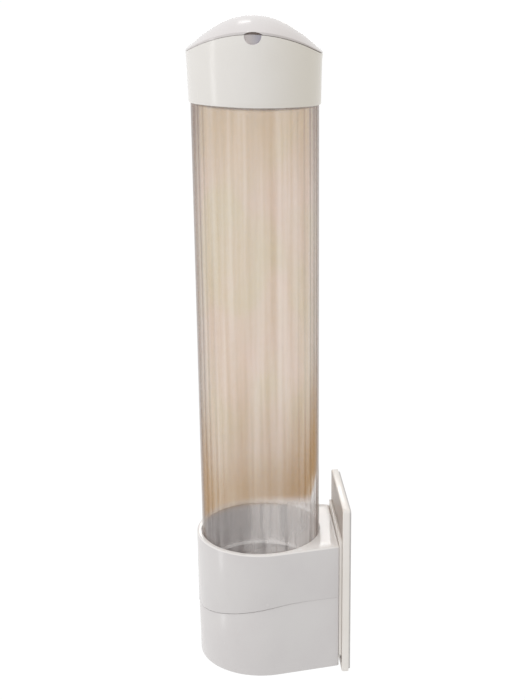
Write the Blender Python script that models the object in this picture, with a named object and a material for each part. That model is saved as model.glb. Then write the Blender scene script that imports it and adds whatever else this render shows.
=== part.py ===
"""A wall-held paper cup dispenser: a clear fluted tube in a white housing that drops one cup at a time.

All sizes are in metres, +Z is up and +Y points into the wall.
The pieces are drawn about the tube's own axis, with the housing's underside at height zero, and one empty
moves them all so that the world origin lies in the middle of the face that sticks to the wall.
"""

import math

import bmesh
import bpy
from mathutils import Matrix, Vector

# %% Fits that many pieces share
FIT = 0.0003
PIN_PLAY = 0.00006
OVERRUN = 0.0010

# %% Clear tube
TUBE_OUTER_RADIUS = 0.0440
TUBE_WALL = 0.0020
TUBE_LENGTH = 0.3757
TUBE_SOCKET_PLAY = 0.0004
FLUTE_COUNT = 36
FLUTE_DEPTH = 0.0008
FLUTE_STEPS = 4

# %% Housing, in two halves that meet on a wavy seam
HOUSING_HEIGHT = 0.0995
RIM_WIDTH = 0.0037
BACK_DEPTH = 0.0075
HOUSING_BACK_HALF_WIDTH = 0.0376
HOUSING_WALL = 0.0020
HOUSING_CORNER_CUT = 0.0012
RIM_ROUND = 0.0012
RIM_INNER_CHAMFER = 0.0006
TUBE_SOCKET_DEPTH = 0.0315
TUBE_SEAT_THICKNESS = 0.0020
TUBE_SEAT_EDGE = 0.0004
SLEEVE_WALL = 0.0022
SEAM_DROP = 0.0575
SEAM_RISE = 0.0162
SEAM_SWEEP = math.radians(125)
SEAM_STEP = 0.0003
LIP_WALL = 0.0010
LIP_RISE = 0.0040
LIP_ROOT = 0.0030
FLOOR_THICKNESS = 0.0022
FOOT_ROUND = 0.0010
FOOT_DRAFT = 0.0004
MOUTH_CHAMFER = 0.0006
POCKET_START = math.radians(122)
ARC_STEPS = 20
SIDE_STEPS = 8
BACK_STEPS = 12

# %% Pawl carrier and what it holds
CARRIER_WALL = 0.0010
CARRIER_BASE = 0.0020
CARRIER_HEIGHT = 0.0150
CARRIER_SIDES = 60
PAWL_COUNT = 4
PAWL_HALF_WIDTH = 0.0060
PAWL_KNUCKLE_RADIUS = 0.0017
PAWL_REACH = 0.0074
PAWL_TOP = 0.0009
PAWL_TIP_DEPTH = 0.0011
PAWL_TIP_RAMP = 0.0020
PAWL_HEEL_RISE = 0.0032
PAWL_HEEL_THICKNESS = 0.0015
PIVOT_RISE = 0.0100
PAWL_PIN_RADIUS = 0.0009
EAR_WALL = 0.0018
EAR_DEPTH = 0.0036
EAR_ROOT = 0.0005
MOUTH_SETBACK = 0.0038
SPRING_OUTER_RADIUS = 0.0018
SPRING_WIRE = 0.00045
SPRING_CURLS = 5
SPRING_CURL_POINTS = 9
SPRING_PEG_PLAY = 0.0004
SPRING_PEG_HEIGHT = 0.0018
PEG_SIDES = 12
EDGE_MARGIN = 0.0002

# %% Screws, one size throughout
SCREW_HEAD_RADIUS = 0.0026
SCREW_HEAD_DEPTH = 0.0013
SCREW_RADIUS = 0.00125
SCREW_LENGTH = 0.0080
SCREW_POINT = 0.0010
SCREW_PLAY = 0.00015
SCREW_SINK = 0.0001
SCREW_SIDES = 16
CROSS_HALF_LENGTH = 0.0014
CROSS_HALF_WIDTH = 0.00035
CROSS_DEPTH = 0.0007
BOSS_RADIUS = 0.0032
BOSS_CAP = 0.0010

# %% Hanger plate on the housing's back, with the hooks that drop into the wall plate
HANGER_THICKNESS = 0.0018
HANGER_HALF_WIDTH = 0.0360
HANGER_BOTTOM = 0.0070
HANGER_RISE = 0.0055
HANGER_CORNER = 0.0040
HANGER_SCREW_HALF_SPACING = 0.0270
HANGER_SCREW_EDGE = 0.0210
HANGER_SCREW_DROP = 0.0155
HOOK_HALF_SPACING = 0.0140
HOOK_HALF_WIDTH = 0.0040
HOOK_PEG_HEIGHT = 0.0040
HOOK_LIP = 0.0060
HOOK_LIP_THICKNESS = 0.0018
HOOK_EDGE = 0.0190
LIFT_SPARE = 0.0005

# %% Wall plate and its sticky pad
PLATE_HALF_WIDTH = 0.0395
PLATE_DROP = 0.0116
PLATE_RISE = 0.0239
PLATE_THICKNESS = 0.0048
PLATE_SKIN = 0.0020
PLATE_EDGE_ROUND = 0.0010
PLATE_CORNER = 0.0025
PLATE_HOLE_RADIUS = 0.0022
PLATE_HOLE_EDGE = 0.0260
PAD_INSET = 0.0015
PAD_THICKNESS = 0.0010
PAD_HOLE_RADIUS = 0.0040

# %% Cap: a collar on the tube's top and a domed lid hinged to it
CAP_TURN = math.radians(86)
CAP_LEAN = math.radians(1.7)
COLLAR_OVERHANG = 0.0024
COLLAR_SKIRT_WALL = 0.0010
COLLAR_SKIRT = 0.0240
COLLAR_DRAFT = 0.0004
COLLAR_SHOULDER = 0.0020
COLLAR_SHOULDER_REACH = 0.0033
COLLAR_WALL = 0.0024
COLLAR_CREST_RISE = 0.0209
COLLAR_EDGE = 0.0005
VAULT_DROP = 0.0150
LID_LIP = 0.0018
LID_SIDE_LIP = 0.0009
LID_DOME_RISE = 0.0076
LID_CROWN_POWER = 1.6
LID_EDGE_ROUND = 0.0007
LID_WALL = 0.0022
LID_PLUG_PLAY = 0.0004
LID_PLUG_WALL = 0.0016
LID_PLUG_DEPTH = 0.0025
LID_RING_SHARES = (0.16, 0.36, 0.56, 0.74, 0.88)
LID_INNER_RING_SHARES = (0.35, 0.7)
CAP_SIDES = 60
HINGE_SETBACK = 0.0030
HINGE_DROP = 0.0005
HINGE_KNUCKLE_RADIUS = 0.0022
HINGE_PIN_RADIUS = 0.0010
HINGE_LID_HALF_WIDTH = 0.0060
HINGE_EAR_WIDTH = 0.0057
HINGE_WEB_DROP = 0.0048
HINGE_WEB_ROOT = 0.0022
HINGE_WEB_TOE_SHARE = 0.8
HINGE_WEB_LIFT = 0.0001
HINGE_WEB_STEP = 0.0008
HINGE_LID_WEB = 0.0018
HINGE_HEEL_LENGTH = 0.0032
HINGE_HEEL_HALF_WIDTH = 0.0005
HINGE_HEEL_ANGLE = math.radians(-44)
NOTCH_HALF_WIDTH = 0.0056
NOTCH_DEPTH = 0.0015
NOTCH_DROP = 0.0063
ARCH_HALF_WIDTH = 0.0058
ARCH_RISE = 0.0013
ARCH_DEPTH = 0.0024

# %% Counts of points round small shapes, and the angle past which an edge stays sharp
ROUND_SIDES = 24
CORNER_STEPS = 3
KNUCKLE_FRONT_STEPS = 6
KNUCKLE_BACK_STEPS = 4
SMOOTH_ANGLE = math.radians(32)

# %% Sizes that follow from those above
FRONT = math.radians(-90)
QUARTER_TURN = math.radians(90)
HALF_TURN = math.radians(180)
FULL_TURN = math.radians(360)

SOCKET_RADIUS = TUBE_OUTER_RADIUS + TUBE_SOCKET_PLAY
HOUSING_FRONT_RADIUS = SOCKET_RADIUS + RIM_WIDTH
HOUSING_BACK_REACH = HOUSING_FRONT_RADIUS + BACK_DEPTH
SIDE_LEAN = math.atan2(HOUSING_BACK_REACH, HOUSING_BACK_HALF_WIDTH) - math.acos(
    HOUSING_FRONT_RADIUS / math.hypot(HOUSING_BACK_HALF_WIDTH, HOUSING_BACK_REACH)
)
SEAM_LOW = HOUSING_HEIGHT - SEAM_DROP
SEAT_TOP = HOUSING_HEIGHT - TUBE_SOCKET_DEPTH
SEAT_BOTTOM = SEAT_TOP - TUBE_SEAT_THICKNESS
SEAT_RADIUS = TUBE_OUTER_RADIUS - TUBE_WALL - TUBE_SEAT_EDGE
TUBE_BOTTOM = SEAT_TOP + FIT
TUBE_TOP = TUBE_BOTTOM + TUBE_LENGTH

CARRIER_OUTER_RADIUS = HOUSING_FRONT_RADIUS - HOUSING_WALL - FIT - LIP_WALL - FIT
CARRIER_BORE = CARRIER_OUTER_RADIUS - CARRIER_WALL
CARRIER_BOTTOM = FLOOR_THICKNESS + FIT
CARRIER_DECK = CARRIER_BOTTOM + CARRIER_BASE
PIVOT_RADIUS = math.sqrt(CARRIER_BORE**2 - PAWL_HALF_WIDTH**2) - FIT - PAWL_KNUCKLE_RADIUS
PIVOT_HEIGHT = CARRIER_DECK + PIVOT_RISE
EAR_INNER = PAWL_HALF_WIDTH + FIT
EAR_OUTER = EAR_INNER + EAR_WALL
MOUTH_RADIUS = PIVOT_RADIUS - MOUTH_SETBACK
SPRING_CENTRE = MOUTH_RADIUS + SPRING_OUTER_RADIUS + EDGE_MARGIN
SPRING_BOTTOM = CARRIER_DECK + FIT
SPRING_TOP = PIVOT_HEIGHT - PAWL_KNUCKLE_RADIUS - FIT
SCREW_CIRCLE = MOUTH_RADIUS + BOSS_RADIUS + EDGE_MARGIN

HANGER_FRONT = HOUSING_BACK_REACH + FIT
HANGER_BACK = HANGER_FRONT + HANGER_THICKNESS
HANGER_TOP = HOUSING_HEIGHT + HANGER_RISE
HANGER_SCREW_HEIGHTS = (HANGER_BOTTOM + HANGER_SCREW_EDGE, HOUSING_HEIGHT - HANGER_SCREW_DROP)
HOOK_HEIGHTS = (HANGER_BOTTOM + HOOK_EDGE, HANGER_TOP - HOOK_EDGE)
LIFT_TRAVEL = HOOK_LIP + LIFT_SPARE

PLATE_FRONT = HANGER_BACK + FIT
PLATE_BACK = PLATE_FRONT + PLATE_THICKNESS
PLATE_BOTTOM = HANGER_BOTTOM - PLATE_DROP
PLATE_TOP = HANGER_TOP + PLATE_RISE
PLATE_MIDDLE = (PLATE_BOTTOM + PLATE_TOP) / 2
PAD_FRONT = PLATE_BACK + FIT
WALL_FACE = PAD_FRONT + PAD_THICKNESS

CAP_RADIUS = TUBE_OUTER_RADIUS + COLLAR_OVERHANG
COLLAR_SKIRT_BORE = TUBE_OUTER_RADIUS + FIT
COLLAR_SHOULDER_BOTTOM = TUBE_TOP + FIT
COLLAR_SHOULDER_TOP = COLLAR_SHOULDER_BOTTOM + COLLAR_SHOULDER
COLLAR_BOTTOM = COLLAR_SHOULDER_BOTTOM - COLLAR_SKIRT
COLLAR_CREST = COLLAR_SHOULDER_TOP + COLLAR_CREST_RISE
COLLAR_BORE = CAP_RADIUS - COLLAR_WALL
VAULT_RADIUS = (CAP_RADIUS**2 + VAULT_DROP**2) / (2 * VAULT_DROP)
LID_TOP = COLLAR_CREST + FIT + LID_LIP + LID_DOME_RISE
HINGE_REACH = CAP_RADIUS + HINGE_SETBACK
HINGE_HEIGHT = COLLAR_CREST - HINGE_DROP


# %% Points and outlines
def polar(radius, angle):
    """A point at this distance and direction from the tube's axis."""
    return Vector((radius * math.cos(angle), radius * math.sin(angle)))


def arc(radius, start, turn, steps, centre=(0, 0)):
    """Points along an arc, both ends included."""
    middle = Vector(centre)
    return [middle + polar(radius, start + turn * k / steps) for k in range(steps + 1)]


def circle(radius, sides):
    """Points round a circle, the first at the front."""
    return [polar(radius, FRONT + FULL_TURN * k / sides) for k in range(sides)]


def rounded_rectangle(half_width, bottom, top, radius, steps=CORNER_STEPS):
    """An upright rectangle with round corners, as points across and up."""
    right, low, high = half_width - radius, bottom + radius, top - radius
    corners = ((right, low, FRONT), (right, high, 0), (-right, high, QUARTER_TURN), (-right, low, HALF_TURN))
    return [p for x, z, start in corners for p in arc(radius, start, QUARTER_TURN, steps, (x, z))]


def housing_outline(inset):
    """The housing from above, drawn in by inset: a round front whose straight sides run to a flat back."""
    radius = HOUSING_FRONT_RADIUS - inset
    back = HOUSING_BACK_REACH - inset
    right = arc(radius, FRONT, QUARTER_TURN + SIDE_LEAN, ARC_STEPS)
    corner = Vector(((radius - back * math.sin(SIDE_LEAN)) / math.cos(SIDE_LEAN), back))
    side_start = right[-1]
    side_end = corner + (side_start - corner).normalized() * HOUSING_CORNER_CUT
    right += [side_start.lerp(side_end, k / SIDE_STEPS) for k in range(1, SIDE_STEPS + 1)]
    back_half = corner.x - HOUSING_CORNER_CUT
    middle = [Vector((back_half * (1 - 2 * k / BACK_STEPS), back)) for k in range(BACK_STEPS + 1)]
    left = [Vector((-p.x, p.y)) for p in reversed(right[1:])]
    return right + middle + left


def turn_from_front(point):
    """How far round from the housing's front this point lies, to either side."""
    return abs(math.atan2(point.x, -point.y))


def seam_heights(offset):
    """The height of the wavy seam at each point of the housing's outline."""
    heights = []
    for point in housing_outline(0):
        share = min(turn_from_front(point) / SEAM_SWEEP, 1)
        heights.append(SEAM_LOW + SEAM_RISE * share * share * (3 - 2 * share) + offset)
    return heights


def housing_ring(inset, height):
    """The housing's outline at one height, or at a list of heights, one for each point."""
    points = housing_outline(inset)
    heights = height if isinstance(height, list) else [height] * len(points)
    return [Vector((p.x, p.y, z)) for p, z in zip(points, heights)]


def bore_ring(radius, height):
    """A round ring with a point in line with each point of the housing's outline."""
    points = [p.normalized() * radius for p in housing_outline(0)]
    return [Vector((p.x, p.y, height)) for p in points]


def round_ring(radius, height, sides):
    """A level ring about the tube's axis."""
    return [Vector((p.x, p.y, height)) for p in circle(radius, sides)]


def cap_slant(across):
    """How much lower the cap's edges run here, because the cap leans a little to one side."""
    return across * math.tan(CAP_LEAN)


def skirt_ring(radius, rise):
    """A ring near the collar's slanted bottom edge."""
    return [Vector((p.x, p.y, COLLAR_BOTTOM + rise - cap_slant(p.x))) for p in circle(radius, CAP_SIDES)]


def vault_height(across):
    """The height of the collar's top edge: a barrel vault whose ridge runs from the notch to the hinge."""
    return COLLAR_CREST - VAULT_RADIUS + math.sqrt(VAULT_RADIUS**2 - across**2) - cap_slant(across)


def vault_ring(radius, rise):
    """A ring that follows the vault, raised by rise."""
    return [Vector((p.x, p.y, vault_height(p.x) + rise)) for p in circle(radius, CAP_SIDES)]


# %% Meshes
def mesh_from(shape):
    """Turns the faces outward and hands over the mesh."""
    bmesh.ops.recalc_face_normals(shape, faces=shape.faces)
    mesh = bpy.data.meshes.new("shape")
    shape.to_mesh(mesh)
    shape.free()
    return mesh


def skin(rings, wrap=False, poles=None):
    """Joins rings of equal count into a closed skin: wrapped round, drawn to two poles, or with flat ends."""
    shape = bmesh.new()
    loops = [[shape.verts.new(p) for p in ring] for ring in rings]
    pairs = list(zip(loops, loops[1:]))
    if wrap:
        pairs.append((loops[-1], loops[0]))
    for one, other in pairs:
        for k in range(len(one)):
            shape.faces.new((one[k - 1], one[k], other[k], other[k - 1]))
    if poles:
        for loop, pole in ((loops[0], poles[0]), (loops[-1], poles[1])):
            tip = shape.verts.new(pole)
            for k in range(len(loop)):
                shape.faces.new((loop[k - 1], loop[k], tip))
    elif not wrap:
        shape.faces.new(loops[0])
        shape.faces.new(loops[-1])
    return mesh_from(shape)


def prism(outline, start, end, to_space):
    """An outline pushed from start to end, with to_space placing each point."""
    return skin([[Vector(to_space(p.x, p.y, depth)) for p in outline] for depth in (start, end)])


def block(low, high):
    """A box between two corners."""
    (left, front, bottom), (right, back, top) = low, high
    outline = [Vector(p) for p in ((left, front), (right, front), (right, back), (left, back))]
    return prism(outline, bottom, top, lambda x, y, z: (x, y, z))


def rod(radius, start, end, axis, centre, sides=ROUND_SIDES):
    """A round bar along X, Y or Z, with its axis through centre."""
    u, v = centre
    places = {
        "x": lambda a, b, depth: (depth, u + a, v + b),
        "y": lambda a, b, depth: (u + a, depth, v + b),
        "z": lambda a, b, depth: (u + a, v + b, depth),
    }
    return prism(circle(radius, sides), start, end, places[axis])


def turned(profile, sides):
    """A solid turned about Z from points of radius and height, with flat ends."""
    return skin([round_ring(radius, height, sides) for radius, height in profile])


def moved(mesh, shift=(0, 0, 0), turn=0):
    """The mesh turned about Z, then shifted."""
    mesh.transform(Matrix.Translation(Vector(shift)) @ Matrix.Rotation(turn, 4, "Z"))
    return mesh


def temporary(mesh):
    """An object that only lasts while a shape is joined or cut."""
    tool = bpy.data.objects.new("tool", mesh)
    tool.hide_render = True
    tool.display_type = "WIRE"
    bpy.context.scene.collection.objects.link(tool)
    return tool


def solid(mesh, join=(), cut=()):
    """The mesh with some shapes joined on and others cut away, as one clean mesh."""
    body = temporary(mesh)
    tools = []
    for operation, shapes in (("UNION", join), ("DIFFERENCE", cut)):
        for shape in shapes:
            tool = temporary(shape)
            tools.append(tool)
            step = body.modifiers.new(operation.lower(), "BOOLEAN")
            step.operation = operation
            step.solver = "EXACT"
            step.object = tool
    result = bpy.data.meshes.new_from_object(body.evaluated_get(bpy.context.evaluated_depsgraph_get()))
    for tool in [body, *tools]:
        bpy.data.objects.remove(tool)
    return result


# %% Materials and placing
def material(name, colour, roughness, metallic=0.0, alpha=1.0):
    """A plain Principled finish."""
    finish = bpy.data.materials.new(name)
    finish.use_nodes = True
    shader = finish.node_tree.nodes["Principled BSDF"]
    shader.inputs["Base Color"].default_value = (*colour, 1)
    shader.inputs["Roughness"].default_value = roughness
    shader.inputs["Metallic"].default_value = metallic
    shader.inputs["Alpha"].default_value = alpha
    finish.diffuse_color = (*colour, alpha)
    return finish


def place(name, mesh, finish, parent, location=(0, 0, 0), turn=0):
    """Adds one named piece to the scene, shaded smooth but for its hard edges."""
    piece = bpy.data.objects.new(name, mesh)
    mesh.name = name
    mesh.materials.clear()
    mesh.materials.append(finish)
    mesh.shade_smooth()
    mesh.set_sharp_from_angle(angle=SMOOTH_ANGLE)
    bpy.context.scene.collection.objects.link(piece)
    piece.parent = parent
    piece.location = location
    piece.rotation_euler.z = turn
    return piece


def guide(name, location=(0, 0, 0), turn=0, parent=None):
    """An empty that carries the pieces of one body."""
    empty = bpy.data.objects.new(name, None)
    bpy.context.scene.collection.objects.link(empty)
    empty.parent = parent
    empty.location = location
    empty.rotation_euler.z = turn
    return empty


# %% Clear tube
def tube_mesh():
    """A straight tube, round outside and fluted inside, each flute a shallow hollow."""
    sides = FLUTE_COUNT * FLUTE_STEPS
    bore = []
    for k, point in enumerate(circle(TUBE_OUTER_RADIUS - TUBE_WALL, sides)):
        swell = math.sin(HALF_TURN * (k % FLUTE_STEPS) / FLUTE_STEPS)
        bore.append(point.normalized() * (point.length + FLUTE_DEPTH * swell))
    low, high = ([Vector((p.x, p.y, z)) for p in bore] for z in (TUBE_BOTTOM, TUBE_TOP))
    outer_low = round_ring(TUBE_OUTER_RADIUS, TUBE_BOTTOM, sides)
    outer_high = round_ring(TUBE_OUTER_RADIUS, TUBE_TOP, sides)
    return skin([outer_low, outer_high, high, low], wrap=True)


# %% Screws
def screw_mesh():
    """A countersunk screw with a cross recess, its head flat at zero and its point along +Z."""
    shank_end = SCREW_LENGTH - SCREW_POINT
    profile = (
        (SCREW_HEAD_RADIUS, 0),
        (SCREW_RADIUS, SCREW_HEAD_DEPTH),
        (SCREW_RADIUS, shank_end),
        (SCREW_RADIUS - SCREW_POINT, SCREW_LENGTH),
    )
    arm, half = CROSS_HALF_LENGTH, CROSS_HALF_WIDTH
    slots = [
        block((-arm, -half, -OVERRUN), (arm, half, CROSS_DEPTH)),
        block((-half, -arm, -OVERRUN), (half, arm, CROSS_DEPTH)),
    ]
    return solid(turned(profile, SCREW_SIDES), cut=slots)


def screw_hole(depth):
    """What a screw takes out of the pieces that it joins, with its head a little below the surface."""
    head = SCREW_HEAD_RADIUS + SCREW_PLAY
    shank = SCREW_RADIUS + SCREW_PLAY
    profile = (
        (head, -OVERRUN),
        (head, SCREW_SINK),
        (shank, SCREW_SINK + SCREW_HEAD_DEPTH),
        (shank, depth),
    )
    return turned(profile, SCREW_SIDES)


def lying(mesh, x, y, z):
    """A mesh drawn along +Z laid along -Y, so that its zero faces the wall."""
    mesh.transform(Matrix.Translation((x, y, z)) @ Matrix.Rotation(QUARTER_TURN, 4, "X"))
    return mesh


def hanger_screw_places(heights=HANGER_SCREW_HEIGHTS):
    """Where the screws enter the hanger plate's back, two at each of these heights."""
    return [(side * HANGER_SCREW_HALF_SPACING, z) for z in heights for side in (-1, 1)]


def hanger_bosses(height):
    """The two bosses behind the housing's back wall at this height, and the holes in them."""
    inside = HOUSING_BACK_REACH - HOUSING_WALL
    reach = HANGER_BACK - SCREW_SINK - SCREW_LENGTH - BOSS_CAP - FIT
    bosses, holes = [], []
    for x, z in hanger_screw_places([height]):
        bosses.append(rod(BOSS_RADIUS, reach, inside + HOUSING_WALL / 2, "y", (x, z)))
        holes.append(lying(screw_hole(SCREW_LENGTH + SCREW_SINK + FIT), x, HANGER_BACK, z))
    return bosses, holes


# %% Housing
def upper_housing_mesh():
    """The upper half: rim and deck round the tube, the socket, and the seat that the tube stands on."""
    slope = math.sin(QUARTER_TURN / 2)
    rings = [
        housing_ring(0, seam_heights(FIT)),
        housing_ring(0, HOUSING_HEIGHT - RIM_ROUND),
        housing_ring(RIM_ROUND * (1 - slope), HOUSING_HEIGHT - RIM_ROUND * (1 - slope)),
        housing_ring(RIM_ROUND, HOUSING_HEIGHT),
        bore_ring(SOCKET_RADIUS + RIM_INNER_CHAMFER, HOUSING_HEIGHT),
        bore_ring(SOCKET_RADIUS, HOUSING_HEIGHT - RIM_INNER_CHAMFER),
        bore_ring(SOCKET_RADIUS, SEAT_TOP),
        bore_ring(SEAT_RADIUS, SEAT_TOP),
        bore_ring(SEAT_RADIUS, SEAT_BOTTOM),
        housing_ring(HOUSING_WALL, SEAT_BOTTOM),
        housing_ring(HOUSING_WALL, seam_heights(FIT)),
    ]
    bosses, holes = hanger_bosses(HANGER_SCREW_HEIGHTS[1])
    hollow = solid(skin(rings, wrap=True), cut=[back_pocket()])
    return solid(hollow, join=bosses, cut=holes)


def back_pocket():
    """The hollow between the socket's sleeve and the housing's back, open from below."""
    outer = [p for p in housing_outline(HOUSING_WALL) if turn_from_front(p) > POCKET_START]
    sleeve = [p.normalized() * (SOCKET_RADIUS + SLEEVE_WALL) for p in reversed(outer)]
    top = HOUSING_HEIGHT - HOUSING_WALL
    return prism(outer + sleeve, SEAT_BOTTOM - OVERRUN, top, lambda x, y, z: (x, y, z))


def lower_housing_mesh():
    """The lower half: a shell with a lap lip behind the seam and a floor round the cup mouth."""
    wall = SEAM_STEP + HOUSING_WALL
    lip_outer = HOUSING_WALL + FIT
    lip_inner = lip_outer + LIP_WALL
    rings = [
        housing_ring(SEAM_STEP + FOOT_DRAFT + FOOT_ROUND, 0),
        housing_ring(SEAM_STEP + FOOT_DRAFT, FOOT_ROUND),
        housing_ring(SEAM_STEP, seam_heights(0)),
        housing_ring(lip_outer, seam_heights(0)),
        housing_ring(lip_outer, seam_heights(LIP_RISE)),
        housing_ring(lip_inner, seam_heights(LIP_RISE)),
        housing_ring(lip_inner, seam_heights(-LIP_ROOT)),
        housing_ring(wall, seam_heights(wall - lip_inner - LIP_ROOT)),
        housing_ring(wall, FLOOR_THICKNESS),
        bore_ring(MOUTH_RADIUS, FLOOR_THICKNESS),
        bore_ring(MOUTH_RADIUS, MOUTH_CHAMFER),
        bore_ring(MOUTH_RADIUS + MOUTH_CHAMFER, 0),
    ]
    bosses, holes = hanger_bosses(HANGER_SCREW_HEIGHTS[0])
    depth = FLOOR_THICKNESS + OVERRUN
    floor_holes = [moved(screw_hole(depth), (*spot, 0)) for spot in carrier_screw_places()]
    return solid(skin(rings, wrap=True), join=bosses, cut=holes + floor_holes)


# %% Pawl carrier
def pawl_angles():
    """The directions of the pawls, the first at the right."""
    return [FULL_TURN * k / PAWL_COUNT for k in range(PAWL_COUNT)]


def carrier_screw_places():
    """The screws stand midway between the pawls."""
    return [polar(SCREW_CIRCLE, angle + HALF_TURN / PAWL_COUNT) for angle in pawl_angles()]


def carrier_mesh():
    """A ring with a base, a wall, two ears and a spring peg for each pawl, and a boss for each screw."""
    top = CARRIER_BOTTOM + CARRIER_HEIGHT
    sections = (
        (MOUTH_RADIUS, CARRIER_BOTTOM),
        (CARRIER_OUTER_RADIUS, CARRIER_BOTTOM),
        (CARRIER_OUTER_RADIUS, top),
        (CARRIER_BORE, top),
        (CARRIER_BORE, CARRIER_DECK),
        (MOUTH_RADIUS, CARRIER_DECK),
    )
    ring = skin([round_ring(r, z, CARRIER_SIDES) for r, z in sections], wrap=True)
    root = CARRIER_DECK - CARRIER_BASE / 2
    ear_top = PIVOT_HEIGHT + PAWL_KNUCKLE_RADIUS
    ear_back = math.sqrt(CARRIER_BORE**2 - EAR_OUTER**2) + EAR_ROOT
    peg = SPRING_OUTER_RADIUS - SPRING_WIRE - SPRING_PEG_PLAY
    extras, holes = [], []
    for angle in pawl_angles():
        for side in (-1, 1):
            low, high = sorted((side * EAR_INNER, side * EAR_OUTER))
            ear = block((PIVOT_RADIUS - EAR_DEPTH / 2, low, root), (ear_back, high, ear_top))
            extras.append(moved(ear, turn=angle))
        post = rod(peg, root, CARRIER_DECK + SPRING_PEG_HEIGHT, "z", (SPRING_CENTRE, 0), PEG_SIDES)
        extras.append(moved(post, turn=angle))
        bore = rod(PAWL_PIN_RADIUS + PIN_PLAY, -EAR_OUTER - OVERRUN, EAR_OUTER + OVERRUN, "y",
                   (PIVOT_RADIUS, PIVOT_HEIGHT))
        holes.append(moved(bore, turn=angle))
    boss_top = SCREW_SINK + SCREW_LENGTH + FIT + BOSS_CAP
    for x, y in carrier_screw_places():
        extras.append(rod(BOSS_RADIUS, root, boss_top, "z", (x, y)))
        holes.append(moved(screw_hole(SCREW_LENGTH + SCREW_SINK + FIT), (x, y, 0)))
    return solid(ring, join=extras, cut=holes)


def pawl_mesh():
    """A pawl about its pivot: an arm towards the tube's axis, and a heel that stops on the carrier's wall."""
    knuckle = PAWL_KNUCKLE_RADIUS
    shoulder = HALF_TURN - math.asin(PAWL_TOP / knuckle)
    heel_front = knuckle - PAWL_HEEL_THICKNESS
    heel_foot = math.acos(heel_front / knuckle)
    outline = [
        Vector((-PAWL_REACH, PAWL_TOP)),
        Vector((-PAWL_REACH, PAWL_TOP - PAWL_TIP_DEPTH)),
        Vector((PAWL_TIP_RAMP - PAWL_REACH, -knuckle)),
        *arc(knuckle, FRONT, QUARTER_TURN, KNUCKLE_FRONT_STEPS),
        Vector((knuckle, PAWL_HEEL_RISE)),
        Vector((heel_front, PAWL_HEEL_RISE)),
        *arc(knuckle, heel_foot, shoulder - heel_foot, KNUCKLE_BACK_STEPS),
    ]
    arm = prism(outline, -PAWL_HALF_WIDTH, PAWL_HALF_WIDTH, lambda u, z, v: (u, v, z))
    reach = PAWL_HALF_WIDTH + OVERRUN
    return solid(arm, cut=[rod(PAWL_PIN_RADIUS + PIN_PLAY, -reach, reach, "y", (0, 0))])


def spring_points():
    """The centre line of one pawl spring, a helix that stands on the carrier."""
    count = SPRING_CURLS * SPRING_CURL_POINTS
    radius = SPRING_OUTER_RADIUS - SPRING_WIRE / 2
    low, high = SPRING_WIRE / 2, SPRING_TOP - SPRING_BOTTOM - SPRING_WIRE / 2
    points = []
    for k in range(count + 1):
        across = polar(radius, FULL_TURN * k / SPRING_CURL_POINTS)
        points.append(Vector((across.x, across.y, low + (high - low) * k / count)))
    return points


def spring_clearance():
    """The least gap between two turns of the spring, measured on its points."""
    points = spring_points()
    half = SPRING_CURL_POINTS // 2
    return min((p - q).length for k, p in enumerate(points) for q in points[k + half:]) - SPRING_WIRE


def spring_object(name, finish, parent, location, turn):
    """One compression spring, as a wire bent along its helix."""
    wire = bpy.data.curves.new(name, "CURVE")
    wire.dimensions = "3D"
    wire.bevel_depth = SPRING_WIRE / 2
    wire.bevel_resolution = 1
    wire.use_fill_caps = True
    points = spring_points()
    path = wire.splines.new("POLY")
    path.points.add(len(points) - 1)
    for knot, point in zip(path.points, points):
        knot.co = (*point, 1)
    wire.materials.append(finish)
    spring = bpy.data.objects.new(name, wire)
    bpy.context.scene.collection.objects.link(spring)
    spring.parent = parent
    spring.location = location
    spring.rotation_euler.z = turn
    return spring


# %% Hanger plate and wall plate
def hanger_mesh():
    """A flat plate with four hooks at its back that point down."""
    outline = rounded_rectangle(HANGER_HALF_WIDTH, HANGER_BOTTOM, HANGER_TOP, HANGER_CORNER)
    plate = prism(outline, HANGER_FRONT, HANGER_BACK, lambda x, z, y: (x, y, z))
    lip_front = PLATE_FRONT + PLATE_SKIN + FIT
    lip_back = lip_front + HOOK_LIP_THICKNESS
    root = HANGER_BACK - HANGER_THICKNESS / 2
    hooks = []
    for z in HOOK_HEIGHTS:
        for side in (-1, 1):
            middle = side * HOOK_HALF_SPACING
            profile = [Vector(p) for p in (
                (root, z), (lip_front, z), (lip_front, z - HOOK_LIP), (lip_back, z - HOOK_LIP),
                (lip_back, z + HOOK_PEG_HEIGHT), (root, z + HOOK_PEG_HEIGHT),
            )]
            hooks.append(prism(profile, middle - HOOK_HALF_WIDTH, middle + HOOK_HALF_WIDTH,
                               lambda y, z, x: (x, y, z)))
    depth = HANGER_THICKNESS + OVERRUN
    holes = [lying(screw_hole(depth), x, HANGER_BACK, z) for x, z in hanger_screw_places()]
    return solid(plate, join=hooks, cut=holes)


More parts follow.
